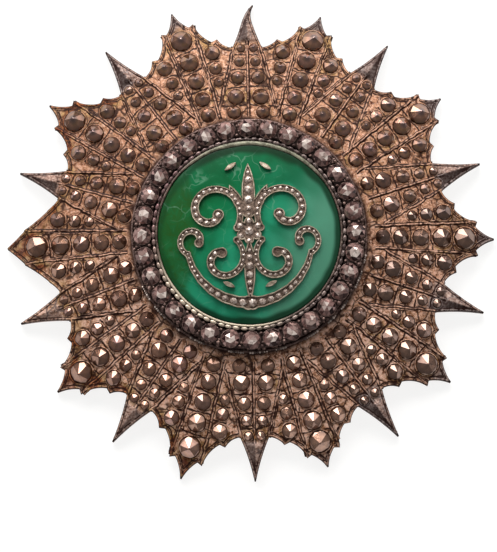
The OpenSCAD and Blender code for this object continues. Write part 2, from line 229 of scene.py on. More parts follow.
# The camera of the photograph, in the row frame: its distance in metres, its sensor in millimetres
IMAGE_W, IMAGE_H = 497, 552
CAMERA_D = 0.45
CAMERA_ASIDE = -0.3
CAMERA_DOWN = 8.05
CAMERA_ROLL = 1.21
MM_PER_PIXEL = 0.175
STAR_PIXEL = (251.1, 242.8)
SENSOR = 36

# (azimuth, elevation, size in metres, power, colour) of the soft lights: azimuth 0 is from +Y,
# 90 from +X. Their distance and half the floor's width are metres too.
LIGHTS = {
    "key": (-6, 33, (0.62, 0.46), 7.2, (1, 0.985, 0.965)),
    "left": (-52, 33, (0.34, 0.38), 1.05, (1, 0.99, 0.975)),
    "right": (45, 32, (0.26, 0.4), 0.5, (1, 0.99, 0.975)),
}
LIGHT_DISTANCE = 0.7
FLOOR_HALF = 2.0


def cos_of(degrees):
    return math.cos(math.radians(degrees))


def on_circle(r, degrees):
    a = math.radians(degrees)
    return r * math.cos(a), r * math.sin(a)


def turned(p, degrees):
    c, s = on_circle(1, degrees)
    return p[0] * c - p[1] * s, p[0] * s + p[1] * c


def uneven(x, y, scale, seed):
    """Smooth noise over the plane, from about -1 to 1."""
    return noise.noise(Vector((x * scale, y * scale, seed)))


def smooth_step(low, high, value):
    t = max(0, min(1, (value - low) / (high - low)))
    return t * t * (3 - 2 * t)


def lean_at(k, angle):
    """The lean of a point that is angle degrees beside axis k: it changes evenly from axis to axis."""
    share = abs(angle) / HALF_STEP
    beside = (k + (-1 if angle < 0 else 1)) % AXES
    return WEAR[k % AXES][1] * (1 - share) + WEAR[beside][1] * share


def placed(k, p):
    """Where the point (along, across) of axis k lies on the star."""
    longer = WEAR[k % AXES][0]
    u = p[0] + longer * max(0, p[0] - WEAR_FROM_U) / (RAY_TIP_R - WEAR_FROM_U)
    angle = math.degrees(math.atan2(p[1], u))
    return turned((u, p[1]), 90 + k * HALF_STEP + lean_at(k, angle))


def bend_at(k, u):
    t = max(0, (u - BEND_FROM_U) / (SPIKE_TIP_R - BEND_FROM_U))
    return BEND * t ** BEND_POWER if k % AXES == 0 else 0


def bent(k, p):
    return p[0], p[1] - bend_at(k, p[0])


def local(k, x, y):
    """The point (along, across) of axis k that lies at x, y: the way back from placed and bent."""
    beside = (math.degrees(math.atan2(y, x)) - 90 - k * HALF_STEP + 180) % 360 - 180
    angle = beside
    for _ in range(2):
        angle = beside - lean_at(k, max(-HALF_STEP, min(HALF_STEP, angle)))
    u, v = on_circle(math.hypot(x, y), angle)
    stretch = WEAR[k % AXES][0] / (RAY_TIP_R - WEAR_FROM_U)
    if u > WEAR_FROM_U:
        u = (u + stretch * WEAR_FROM_U) / (1 + stretch)
    return u, v + bend_at(k, u)


def nearest_axis(x, y, odd):
    """The number of the spike, or with odd the main ray, that x, y is on or nearest to."""
    steps = ((math.degrees(math.atan2(y, x)) - 90) % 360) / HALF_STEP
    return (2 * round((steps - odd) / 2) + odd) % AXES


def hollow_edge(a, b, sag):
    """Points of an edge from a to b, bowed sideways by sag, without b."""
    dx, dy = b[0] - a[0], b[1] - a[1]
    length = math.hypot(dx, dy)
    steps = max(2, round(length / EDGE_STEP))
    bows = [4 * sag * (i / steps) * (1 - i / steps) / length for i in range(steps)]
    return [(a[0] + dx * i / steps - dy * bow, a[1] + dy * i / steps + dx * bow)
            for i, bow in enumerate(bows)]


def flipped(points):
    return [(p[0], -p[1]) for p in reversed(points)]


def mirrored(ends):
    return tuple((p[0], -p[1]) for p in ends)


def ray_outline(k):
    half = []
    for tip_u, tip_v, dip_u, dip_v, sag in WORN_SCALLOPS if k == WORN_RAY else SCALLOPS:
        half += hollow_edge((tip_u, tip_v), (dip_u, dip_v), sag)
        half.append((dip_u, dip_v))
    return [placed(k, p) for p in flipped(half) + half]


def spike_outline(k):
    notch = turned((SCALLOPS[-1][2], SCALLOPS[-1][3]), -HALF_STEP)
    side = hollow_edge(notch, (SPIKE_TIP_R, -TIP_BLUNT), SPIKE_SAG)
    tip = [(SPIKE_TIP_R, -TIP_BLUNT), (SPIKE_TIP_R, TIP_BLUNT)]
    return [placed(k, bent(k, p)) for p in side[1:] + tip + flipped(side[1:])]


def star_outline():
    points = []
    for k in range(AXES):
        points += ray_outline(k) if k % 2 else spike_outline(k)
    return points


def dome_z(x, y, ball_r=DOME_TOP_R):
    return math.sqrt(ball_r ** 2 - x * x - y * y) + DOME_Z


def roof_height(x, y):
    """How much the ridged back of a spike adds to the dome."""
    if math.hypot(x, y) < ROOF_U[0] - 1:
        return 0
    u, v = local(nearest_axis(x, y, 0), x, y)
    if u < ROOF_U[0]:
        return 0
    width = np.interp(u, ROOF_U, ROOF_WIDTH)
    return np.interp(u, ROOF_U, ROOF_HEIGHT) * max(0, 1 - abs(v) / (width + 0.12))


def silver_z(x, y):
    """Height of the silver's face, which was worked by hand and is uneven."""
    hammered = 0.035 * uneven(x, y, 0.9, 3) + 0.02 * uneven(x, y, 2.6, 7)
    return dome_z(x, y) + hammered + roof_height(x, y)


class Shape:
    """The points and faces of one piece, gathered part by part.

    marks are painted on the points: three numbers from 0 to 1, on the silver (grime and painted shade,
    stain, grey).
    facets are painted on the faces: one number from 0 to 1.
    """

    def __init__(self):
        self.points = []
        self.faces = []
        self.marks = []
        self.facets = []

    def add(self, points, faces, marks=None, facets=None):
        start = len(self.points)
        self.points += points
        self.faces += [tuple(start + i for i in face) for face in faces]
        self.marks += marks or [(0, 0, 0)] * len(points)
        self.facets += facets or [0.5] * len(faces)


def strip_faces(count, wide, closed=True, turned_over=False):
    """Faces between count rows of wide points each, along a path or, closed, round a ring."""
    faces = []
    for i in range(count if closed else count - 1):
        a, b = i * wide, (i + 1) % count * wide
        for j in range(wide - 1):
            face = (a + j, b + j, b + j + 1, a + j + 1)
            faces.append((face[0], face[3], face[2], face[1]) if turned_over else face)
    return faces


def band_faces(a, b, n):
    """Faces between two closed rings of n points, whose first points have the numbers a and b."""
    return [(a + i, b + i, b + (i + 1) % n, a + (i + 1) % n) for i in range(n)]


def add_object(name, data):
    obj = bpy.data.objects.new(name, data)
    bpy.context.scene.collection.objects.link(obj)
    return obj


def make_piece(name, shape, material, nodes=(), smooth=False):
    """The piece of a shape, in the place of the CAD nodes it is given."""
    mesh = bpy.data.meshes.new(name)
    mesh.from_pydata([(x * MM, y * MM, z * MM) for x, y, z in shape.points], [], shape.faces)
    marks = mesh.attributes.new("marks", "FLOAT_COLOR", "POINT")
    marks.data.foreach_set("color", np.array([(*m, 1) for m in shape.marks], np.float32).ravel())
    facets = mesh.attributes.new("facet", "FLOAT", "FACE")
    facets.data.foreach_set("value", np.array(shape.facets, np.float32))
    mesh.polygons.foreach_set("use_smooth", [smooth] * len(mesh.polygons))
    mesh.materials.append(material)
    obj = add_object(name, mesh)
    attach(obj, "root")
    if nodes:
        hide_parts(*nodes)


def all_bosses():
    """(axis, along, across, width, row number) of each boss: first those of the rays, then the spikes'."""
    on_rays = []
    on_spikes = []
    for k in range(AXES):
        beside = SIDE_BOSSES if k % 2 else SPIKE_BOSSES
        both = [(k, u, side * v, d, i) for side in (-1, 1) for i, (u, v, d) in enumerate(beside)]
        if k % 2:
            on_rays += [(k, *row, i) for i, row in enumerate(MIDDLE_BOSSES)] + both
        else:
            on_spikes += both
    return on_rays, on_spikes


def tree_of(points):
    tree = kdtree.KDTree(len(points))
    for i, (x, y) in enumerate(points):
        tree.insert((x, y, 0), i)
    tree.balance()
    return tree


RAY_BOSSES, ALL_SPIKE_BOSSES = all_bosses()
BOSS_PLACES = [(placed(k, (u, v)), d) for k, u, v, d, _ in RAY_BOSSES + ALL_SPIKE_BOSSES]
BOSS_TREE = tree_of([place for place, _ in BOSS_PLACES])
OUTLINE = star_outline()
EDGE_TREE = tree_of(OUTLINE)


def silver_marks(x, y):
    """(grime and painted shade, stain, grey) of the silver at a point."""
    edge = EDGE_TREE.find((x, y, 0))[2]
    _, i, to_boss = BOSS_TREE.find((x, y, 0))
    from_boss = to_boss - BOSS_PLACES[i][1] / 2
    mottle = uneven(x, y, 0.45, 11)
    r = math.hypot(x, y)
    ray, spike = nearest_axis(x, y, 1), nearest_axis(x, y, 0)
    u_ray = local(ray, x, y)[0]
    u_spike, v_spike = local(spike, x, y)
    grey_from_u = 34.6 - 3 * TARNISH[spike][2]
    on_spike = abs(v_spike) < SPIKE_LINE[0][1] and u_spike > grey_from_u - 0.3
    grey_tip, rust, dark = TARNISH[spike if on_spike else ray]
    # Painted contact shadow, with tarnish, in a ring round each boss's foot
    seat = 1 - smooth_step(0.05, 0.4, from_boss)
    # Painted shade on the silver round the foot of the raised ring
    ring_shade = 1 - smooth_step(RING_R - 0.3, RING_R + 1.3, math.dist((x, y), MEDALLION))
    dirt_and_shade = max(0.9 * seat, 0.8 * ring_shade, 0.6 * (1 - smooth_step(0, 0.3, edge)))
    dirt_and_shade += 0.55 * dark * smooth_step(32, 37, r) + 0.45 * max(0, mottle)
    dirt_and_shade += 0.45 * rust * (1 - smooth_step(0.3, 1.3, edge))
    halo = smooth_step(0.1, 0.3, from_boss) * (1 - smooth_step(0.3, 0.75, from_boss))
    outer = smooth_step(30, 37, r) * (1 - smooth_step(0.8, 3.2, edge))
    stain = rust * outer * max(0, 0.75 + 1.3 * mottle)
    stain += halo * max(0, 0.15 + 1.5 * uneven(x, y, 0.22, 19)) * 0.6
    if on_spike:
        # Painted light and shade on a spike's two flanks: the flank facing up and to the right is painted
        # paler and less grey, the other darker
        lit = smooth_step(-0.3, 0.6, cos_of(30 + spike * HALF_STEP + math.copysign(90, v_spike)))
        grey = grey_tip * smooth_step(grey_from_u, grey_from_u + 1.2, u_spike)
        dirt_and_shade = max(0.2 * dirt_and_shade, grey * (0.58 - 0.52 * lit))
        dirt_and_shade += 0.5 * grey * smooth_step(37, 41, u_spike) + 0.5 * smooth_step(40.3, 41.5, u_spike)
        stain *= 1 - grey
        grey *= 1 - 0.3 * lit
    else:
        grey = grey_tip * smooth_step(38.6, 40.3, u_ray + 0.8 * mottle)
        dirt_and_shade = max(dirt_and_shade, grey * (0.65 + mottle))
    return min(1, dirt_and_shade), max(0, min(1, stain)), grey


def hex_grid(step, keep_off):
    """Grid points inside the outline, at least keep_off from its edge."""
    ring = np.array(OUTLINE)
    after = np.roll(ring, -1, axis=0)
    found = []
    for n, y in enumerate(np.arange(-GRID_HALF, GRID_HALF, step * math.sqrt(3) / 2)):
        cross = (ring[:, 1] > y) != (after[:, 1] > y)
        a, b = ring[cross], after[cross]
        hits = np.sort(a[:, 0] + (y - a[:, 1]) / (b[:, 1] - a[:, 1]) * (b[:, 0] - a[:, 0]))
        xs = np.arange(-GRID_HALF + (step / 2 if n % 2 else 0), GRID_HALF, step)
        inside = np.searchsorted(hits, xs) % 2 == 1
        found += [(x, y) for x in xs[inside] if EDGE_TREE.find((x, y, 0))[2] > keep_off]
    return found


def ridge_points():
    """The middle line of each free spike, as separate runs of points."""
    along = np.arange(ROOF_U[0], SPIKE_TIP_R - 0.2, 0.2)
    return [[placed(k, bent(k, (u, 0))) for u in along] for k in range(0, AXES, 2)]


def filled_outline(step, keep_off, runs):
    """Triangles that fill the star's outline, with the given runs of points as edges."""
    count = len(OUTLINE)
    points = list(OUTLINE)
    edges = []
    for run in runs:
        edges += [(len(points) + i, len(points) + i + 1) for i in range(len(run) - 1)]
        points += run
    taken = tree_of(points)
    points += [p for p in hex_grid(step, keep_off) if taken.find((*p, 0))[2] > 0.4 * step]
    made = delaunay_2d_cdt([Vector(p) for p in points], edges, [list(range(count))], 1, 1e-7)
    verts, faces, origins = made[0], made[2], made[3]
    boundary = {source: i for i, ids in enumerate(origins) for source in ids if source < count}
    return [(v[0], v[1]) for v in verts], faces, [boundary[i] for i in range(count)]


def plate_shape():
    """The star's silver: its face, its plain back and the edge between them."""
    shape = Shape()
    flat, faces, rim = filled_outline(GRID_STEP, 0.13, ridge_points())
    on_rim = set(rim)
    top = [(x, y, dome_z(x, y) - 0.1 if i in on_rim else silver_z(x, y)) for i, (x, y) in enumerate(flat)]
    shape.add(top, faces, [silver_marks(x, y) for x, y in flat])
    flat, faces, back_rim = filled_outline(BACK_STEP, 0.5, [])
    under = [(x, y, max(0, dome_z(x, y, DOME_R))) for x, y in flat]
    back_marks = [(0.2 + 0.3 * max(0, uneven(x, y, 0.2, 5)), 0, 0.5) for x, y in flat]
    shape.add(under, [tuple(reversed(face)) for face in faces], back_marks)
    start = len(top)
    for i, at in enumerate(rim):
        j = (i + 1) % len(rim)
        shape.faces.append((at, start + back_rim[i], start + back_rim[j], rim[j]))
        shape.facets.append(0.5)
    return shape


def sweep(shape, path, profile, wobble, seed):
    """A bar along a path over the silver: its ends run out; grime and painted shade darken its hollows here
    and there.
    """
    count = len(path)
    if count < 3:
        return
    points, marks = [], []
    for i, (x, y) in enumerate(path):
        ahead, behind = path[min(i + 1, count - 1)], path[max(i - 1, 0)]
        dx, dy = ahead[0] - behind[0], ahead[1] - behind[1]
        length = math.hypot(dx, dy) or 1
        shift = wobble * (uneven(x, y, 0.8, seed) + 0.35 * uneven(x, y, 2.7, seed + 20))
        worn = 0.75 + 0.45 * uneven(x, y, 0.6, seed + 40)
        chip = max(0, uneven(x, y, 2.2, seed + 80))
        fade = min(1, i / 2, (count - 1 - i) / 2)
        filled = [0.5 + 0.5 * smooth_step(-0.25, 0.1, uneven(x, y, 1.3, seed + n)) for n in (120, 130)]
        _, stain, grey = silver_marks(x, y)
        for across, height, dirt_and_shade in profile:
            px, py = x - dy / length * (across + shift), y + dx / length * (across + shift)
            rise = height * worn * fade if height > 0 else height
            points.append((px, py, silver_z(px, py) + rise))
            # The hollows at the bar's feet: grime with painted shade, plus wear and chips
            grime_and_shade = dirt_and_shade * filled[across > 0] + 0.5 * max(0, 0.8 - worn) + 1.3 * chip
            marks.append((min(1, grime_and_shade), stain, grey))
    # Faces high on a bar are marked as crest and painted paler: polish wear, and partly a painted highlight
    crest = [min(1, 0.5 + 4 * max(0, min(a[1], b[1]) - 0.04)) for a, b in zip(profile, profile[1:])]
    shape.add(points, strip_faces(count, len(profile), closed=False), marks, crest * (count - 1))


def straight(k, a, b, shift=0):
    """Points on axis k from a to b, moved sideways by shift."""
    du, dv = b[0] - a[0], b[1] - a[1]
    length = math.hypot(du, dv)
    steps = max(3, round(length / LINE_STEP))
    u, v = a[0] - dv / length * shift, a[1] + du / length * shift
    return [placed(k, (u + du * i / steps, v + dv * i / steps)) for i in range(steps + 1)]


def line_shape():
    """The raised lines between the rows of bosses, partly doubled."""
    shape = Shape()
    rng = random.Random(31)
    for k in range(AXES):
        line = BAND_LINE if k % 2 else SPIKE_LINE
        for n, (a, b) in enumerate((line, mirrored(line))):
            sweep(shape, straight(k, a, b), RAISED, 0.2, k + n * 0.5)
            shares = rng.uniform(0, 0.6), rng.uniform(0.7, 1)
            start, end = ([p + (q - p) * share for p, q in zip(a, b)] for share in shares)
            side = DOUBLE_OFFSET * rng.choice((-1, 1)) * rng.uniform(0.8, 1.15)
            sweep(shape, straight(k, start, end, side), DOUBLE, 0.16, k + n * 0.5 + 60)
        if k % 2 == 0:
            sweep(shape, straight(k, *RIDGE_LINE), RAISED, 0.12, k + 90)
    return shape


def gaps(rows):
    """How far along the middle of the gap lies between each boss of a row and the next."""
    return [((u1 - d1 / 2) + (u2 + d2 / 2)) / 2 for (u1, _, d1), (u2, _, d2) in zip(rows, rows[1:])]


def line_across_at(ends, u):
    (u1, v1), (u2, v2) = ends
    return v1 + (v2 - v1) * (u - u1) / (u2 - u1)


def cross_shape():
    """Fine creases that part the bosses of a row from each other."""
    shape = Shape()
    rng = random.Random(47)
    for k in range(AXES):
        for u in gaps(MIDDLE_BOSSES) if k % 2 else ():
            w = line_across_at(BAND_LINE, u) - 0.2
            tilt = rng.uniform(-0.3, 0.3)
            sweep(shape, straight(k, (u - tilt, -w), (u + tilt, w)), CREASE, 0.3, k + u)
        for side in (-1, 1):
            for u in gaps(SIDE_BOSSES if k % 2 else SPIKE_BOSSES):
                if k % 2:
                    inner = line_across_at(BAND_LINE, u) + 0.15
                    outer = inner + 2.6
                else:
                    inner = 0.2
                    outer = line_across_at(SPIKE_LINE, u) - 0.15
                tilt = rng.uniform(-0.4, 0.1 if k % 2 else 0.4)
                path = straight(k, (u, side * inner), (u + tilt, side * outer))
                sweep(shape, path, CREASE, 0.25, k + u + side)
    return shape


def on_main_ray(x, y):
    return abs(local(nearest_axis(x, y, 0), x, y)[1]) > SPIKE_HALF_WIDTH


def on_free_spike(x, y):
    return not on_main_ray(x, y) and math.hypot(x, y) > ROOF_U[0]


def inset_runs(distance, is_wanted=lambda x, y: True):
    """The outline moved inwards, as runs of points that keep that distance from every edge."""
    count = len(OUTLINE)
    runs = [[]]
    for i, (x, y) in enumerate(OUTLINE):
        a, b = OUTLINE[i - 1], OUTLINE[(i + 1) % count]
        dx, dy = b[0] - a[0], b[1] - a[1]
        length = math.hypot(dx, dy)
        p = (x - dy / length * distance, y + dx / length * distance)
        if EDGE_TREE.find((*p, 0))[2] < 0.9 * distance or not is_wanted(*p):
            continue
        if runs[-1] and math.dist(runs[-1][-1], p) > 0.7:
            runs.append([])
        if not runs[-1] or math.dist(runs[-1][-1], p) > 0.1:
            runs[-1].append(p)
    return runs


def edge_shape():
    """The raised rims along the scalloped edges, doubled on the main rays."""
    shape = Shape()
    for run in inset_runs(RIM_IN):
        sweep(shape, run, EDGE_BEAD, 0.03, 5)
    for run in inset_runs(SECOND_RIM_IN, on_main_ray):
        sweep(shape, run, CREASE, 0.16, 15)
    return shape


def bead(shape, place, radius, squash, mark, sides=6):
    """A small dome of two rings and a top."""
    x, y, z = place
    points = []
    for share, height in ((1, -0.4), (0.8, 0.55)):
        for i in range(sides):
            dx, dy = on_circle(radius * share, 360 * i / sides)
            points.append((x + dx, y + dy, z + radius * squash * height))
    points.append((x, y, z + radius * squash))
    faces = band_faces(sides, 0, sides)
    faces += [(sides + i, sides + (i + 1) % sides, 2 * sides) for i in range(sides)]
    shape.add(points, faces, [mark] * len(points))


def spike_bead_shape():
    """Rows of tiny grains along the edges of the free spikes."""
    shape = Shape()
    rng = random.Random(53)
    for run in inset_runs(GRAINS_IN, on_free_spike):
        last = None
        for x, y in run:
            if last and math.dist(last, (x, y)) < GRAIN_PITCH:
                continue
            last = (x, y)
            grey = silver_marks(x, y)[2]
            bead(shape, (x, y, silver_z(x, y) + 0.03), rng.uniform(0.1, 0.14), 0.9,
                 (rng.choice((0, 0.3, 0.8)), 0, grey))
    return shape


def dome_frame(x, y, height):
    """Matrix that stands something on the dome at x, y, square to the silver."""
    z = math.sqrt(DOME_TOP_R ** 2 - x * x - y * y)
    up = Vector((x, y, z)).normalized()
    along = Vector((z, 0, -x)).normalized()
    turn = Matrix((along, up.cross(along), up)).transposed().to_4x4()
    foot = up * (DOME_TOP_R + height)
    return Matrix.Translation((foot.x, foot.y, foot.z + DOME_Z)) @ turn


def rotation(degrees, axis):
    return Matrix.Rotation(math.radians(degrees), 4, axis)


def cut_boss(shape, place, d, turn, rng, mark):
    """A boss: eight flat facets that meet at a small worn point, over a girdle of crossed facets."""
    r, h, n = d / 2, d * BOSS_RISE, 8
    tilt = rotation(rng.uniform(-5, 5), "X") @ rotation(rng.uniform(-5, 5), "Y")
    matrix = dome_frame(*place, SEAT_GAP) @ tilt @ rotation(turn, "Z")

    def ring(count, radius, height, spread):
        return [Vector((*on_circle(radius, 360 * i / count), height * rng.uniform(1 - spread, 1 + spread)))
                for i in range(count)]

    foot = ring(2 * n, r, -0.16, 0)
    girdle = ring(2 * n, 0.985 * r, 0.1 * h, 0)
    shoulder = ring(n, 0.88 * r, 0.3 * h, 0.2)
    tip = Vector((r * rng.uniform(-0.08, 0.08), r * rng.uniform(-0.08, 0.08), h * 1.03))
    worn = [p.lerp(tip, 0.88) for p in shoulder]
    top = Vector((tip.x, tip.y, h * 0.985))
    points = [tuple(matrix @ p) for p in foot + girdle + shoulder + worn + [top]]
    g, s, w, t = 2 * n, 4 * n, 5 * n, 6 * n
    faces = band_faces(g, 0, 2 * n)
    for i in range(n):
        j = (i + 1) % n
        faces += [(g + 2 * i, g + 2 * i + 1, s + i), (g + 2 * i + 1, g + 2 * j, s + j),
                  (s + i, g + 2 * i + 1, s + j), (s + i, s + j, w + j, w + i), (w + i, w + j, t)]
    dirt_and_shade, stain = mark
    # Foot and girdle darkened as grime with painted contact shadow; the third number rises from 0 at the
    # foot to 1 at the point
    marks = [(1, stain, 0)] * (2 * n) + [(0.7, stain, 0)] * (2 * n)
    marks += [(dirt_and_shade, stain, 0.45)] * n + [(dirt_and_shade, stain, 1)] * (n + 1)
    shape.add(points, faces, marks, [rng.random() for _ in faces])


def boss_shape(rows, seed):
    shape = Shape()
    rng = random.Random(seed)
    for k, u, v, d, i in rows:
        side = -1 if v < 0 else 1
        dirt_and_shade = 0.25 * rng.random() + 0.55 * TARNISH[k][2]
        stain = max(0, rng.uniform(-0.8, 0.8))
        cut_boss(shape, placed(k, (u, v)), d, i * ROW_TURN + k * AXIS_TURN * side, rng, (dirt_and_shade, stain))
    return shape


def seat_shape():
    """The low seats round the bosses."""
    shape = Shape()
    rng = random.Random(61)
    for (x, y), d in BOSS_PLACES:
        seed = rng.random() * 50
        points, marks = [], []
        for i in range(SEAT_STEPS):
            c, s = on_circle(1, 360 * i / SEAT_STEPS)
            worn = 0.8 + 0.5 * uneven(c, s, 1, seed)
            for out, height, dirt_and_shade in SEAT:
                px, py = x + (d / 2 + out) * c, y + (d / 2 + out) * s
                _, stain, grey = silver_marks(px, py)
                points.append((px, py, silver_z(px, py) + height * worn))
                marks.append((dirt_and_shade, min(1, stain * 1.3), grey))
        shape.add(points, strip_faces(SEAT_STEPS, len(SEAT), turned_over=True), marks)
    return shape


def polar(r, degrees, z=0):
    """A point of the medallion, which was set a little off the star's middle."""
    dx, dy = on_circle(r, degrees)
    return MEDALLION[0] + dx, MEDALLION[1] + dy, z


def revolve(shape, middle, steps, rows_at):
    """A closed ring round middle: rows_at gives its rows of (radius, height, mark), outside first."""
    points, marks = [], []
    for i in range(steps):
        a = 360 * i / steps
        rows = rows_at(a)
        for r, z, mark in rows:
            dx, dy = on_circle(r, a)
            points.append((middle[0] + dx, middle[1] + dy, z))
            marks.append(mark)
    shape.add(points, strip_faces(steps, len(rows)), marks)


def lathe(shape, rows, steps, wave=0.0, seed=0):
    """A ring round the medallion from rows of (radius, height, dirt), moved unevenly by up to wave."""
    def rows_at(a):
        off = wave * uneven(*on_circle(1, a), 3, seed)
        return [(r + off, z + off, (dirt_and_shade, 0, 0)) for r, z, dirt_and_shade in rows]

    revolve(shape, MEDALLION, steps, rows_at)


def half_round(r, z, radius, low, dirt_and_shade):
    """Rows for lathe: a wire of that radius whose flanks run down to low."""
    arc = [(r + dx, z + dz, dirt_and_shade) for dx, dz in (on_circle(radius, 22.5 * i) for i in range(9))]
    return [(r + radius, low, 1)] + arc + [(r - radius, low, 1)]


def stone_angle(i):
    return 90 + i * 360 / STONES


def grain(shape, place, radius, height, mark):
    """A solder grain: a small dome on a post that goes down into the ring."""
    x, y, z = place
    bead(shape, (x, y, z - GRAIN_POST), radius * 1.03, 1.1, (1, 0, 0), 7)
    bead(shape, place, radius, height, mark, 7)


def add_foot_wire(shape, rng):
    """The wire round the ring's foot, with broken rows of grains on it low on the star, painted pale as
    wear and as painted light in the ring's shade.
    """
    foot_z = dome_z(RING_R, 0)
    lathe(shape, half_round(RING_R - 0.12, foot_z + 0.2, 0.2, foot_z - 0.3, 0.5), RING_STEPS, 0.14, 9)
    for a in np.arange(*FOOT_GRAINS):
        x, y, z = polar(RING_R + 0.1, a, foot_z + 0.42)
        radius = rng.uniform(0.13, 0.27)
        if uneven(x, y, 0.45, 6) < 0.12:
            place = (x, y, z + rng.uniform(-0.06, 0.1))
            # The third number paints the grain pale: wear, and painted light where the ring shades it
            bead(shape, place, radius, 0.9, (rng.choice((0, 0.1, 0.5, 0.9)), 0, 1))


def add_cup(shape, middle, rng):
    seed = rng.random() * 90

    def rows_at(a):
        off = 0.07 * uneven(*on_circle(1, a), 2, seed)
        return [(r + off, z + off, (min(1, dirt_and_shade + rng.uniform(0, 0.3)), 0, 0)) for r, z, dirt_and_shade in CUP]

    revolve(shape, middle, CUP_STEPS, rows_at)


def ring_shape():
    """The dark ring: its body, the wire round its foot, the stones' cups and the grains that hold them."""
    shape = Shape()
    rng = random.Random(71)
    lathe(shape, RING_BODY, RING_STEPS, 0.06, 2)
    add_foot_wire(shape, rng)
    middles = [polar(STONE_CIRCLE_R, stone_angle(i)) for i in range(STONES)]
    for middle in middles:
        add_cup(shape, middle, rng)
    for i, (cx, cy, _) in enumerate(middles):
        between = stone_angle(i) + 180 / STONES
        for r, size in CUP_GRAINS:
            place = polar(r + rng.uniform(-0.08, 0.08), between + rng.uniform(-0.5, 0.5), CUP_TOP_Z - 0.2)
            grain(shape, place, size * rng.uniform(0.8, 1.15), 1, (rng.uniform(0.1, 0.8), 0, 0))
        for _ in range(2):
            dx, dy = on_circle(CUP_R - 0.1, rng.uniform(0, 360))
            grain(shape, (cx + dx, cy + dy, CUP_TOP_Z - 0.1), rng.uniform(0.12, 0.2), 0.9,
                  (rng.uniform(0, 0.6), 0, 0))
    for i in range(OUTER_GRAINS):
        angle = 360 * (i + rng.uniform(-0.3, 0.3)) / OUTER_GRAINS
        place = polar(RING_R - 0.5 + rng.uniform(-0.3, 0.12), angle, RING_BODY_Z - rng.uniform(0.1, 0.7))
        grain(shape, place, rng.uniform(0.16, 0.38), rng.uniform(0.7, 1.1), (rng.uniform(0, 1), 0, 0))
    return shape


def stone_shape(i):
    """A rose-cut stone: six facets round its point, mostly painted pale as highlights, eighteen dark ones
    below them, and its foot.
    """
    shape = Shape()
    rng = random.Random(800 + i)
    cx, cy, _ = polar(STONE_CIRCLE_R, stone_angle(i))
    turn = (i + 1) * 17
    n = 6
    lean = (rng.uniform(-0.1, 0.1), rng.uniform(-0.1, 0.1))

    def ring(count, share_r, share_h, spread):
        rows = []
        for j in range(count):
            r = STONE_LOOK_R * share_r * rng.uniform(1 - spread, 1 + spread)
            x, y = on_circle(r, turn + 360 * j / count)
            height = STONE_H + lean[0] * x + lean[1] * y
            rows.append((cx + x, cy + y, STONE_FOOT_Z + share_h * height))
        return rows

    foot = ring(n, 0.7, 0, 0)
    girdle = ring(2 * n, 1, 0.42, 0.03)
    crown = ring(n, 0.6, 0.87, 0.16)
    point = [(cx + rng.uniform(-0.3, 0.3), cy + rng.uniform(-0.3, 0.3), STONE_FOOT_Z + STONE_H)]
    g, c, p = n, 3 * n, 4 * n
    faces, facets = [tuple(reversed(range(n)))], [0]
    for j in range(n):
        k = (j + 1) % n
        faces += [(j, k, g + 2 * k, g + 2 * j + 1), (j, g + 2 * j + 1, g + 2 * j),
                  (g + 2 * j, g + 2 * j + 1, c + j), (g + 2 * j + 1, g + 2 * k, c + k),
                  (c + j, g + 2 * j + 1, c + k), (c + j, c + k, p)]
        facets += [0, 0, *(rng.uniform(0, 0.47) for _ in range(3))]
        # Painted highlights: the facets round the point are mostly pale, some near white as painted glints
        facets.append(rng.choice((0.3, 0.55, 0.65, 0.75, 0.85, 1)))
    shape.add(foot + girdle + crown + point, faces, None, facets)
    return shape


def milled_shape():
    """The milled wire: squarish beads side by side on a plain wire."""
    shape = Shape()
    rng = random.Random(83)
    lathe(shape, half_round(MILLED_R, MILLED_Z - 0.06, 0.17, MEDALLION_FOOT_Z, 0.8), MILLED_STEPS)
    for i in range(MILLED_BEADS):
        a = 360 * (i + rng.uniform(-0.12, 0.12)) / MILLED_BEADS
        x, y, _ = polar(MILLED_R, a)
        cream = max(0, cos_of(a - MILLED_CREAM_AT)) ** 3
        pink = max(0, cos_of(a - MILLED_PINK_AT)) ** 2
        half_long, half_wide = MILLED_BEAD[0] * rng.uniform(0.88, 1), MILLED_BEAD[1] * rng.uniform(0.88, 1)
        top = MILLED_BEAD[2] * rng.uniform(0.85, 1.02)
        points = []
        for share, height in ((1, -0.5), (1, 0.45), (0.72, 0.92)):
            for n in range(8):
                along, out = (share * max(-1, min(1, q)) for q in on_circle(1.25, 45 * n + 22.5))
                dx, dy = turned((half_wide * out, half_long * along), a)
                points.append((x + dx, y + dy, MILLED_Z + top * height))
        points.append((x, y, MILLED_Z + top))
        faces = band_faces(0, 8, 8) + band_faces(8, 16, 8)
        faces += [(16 + (n + 1) % 8, 16 + n, 24) for n in range(8)]
        shape.add(points, faces, [(0.75 * rng.random() * (1 - cream), pink, cream)] * len(points),
                  [rng.random() for _ in faces])
    return shape


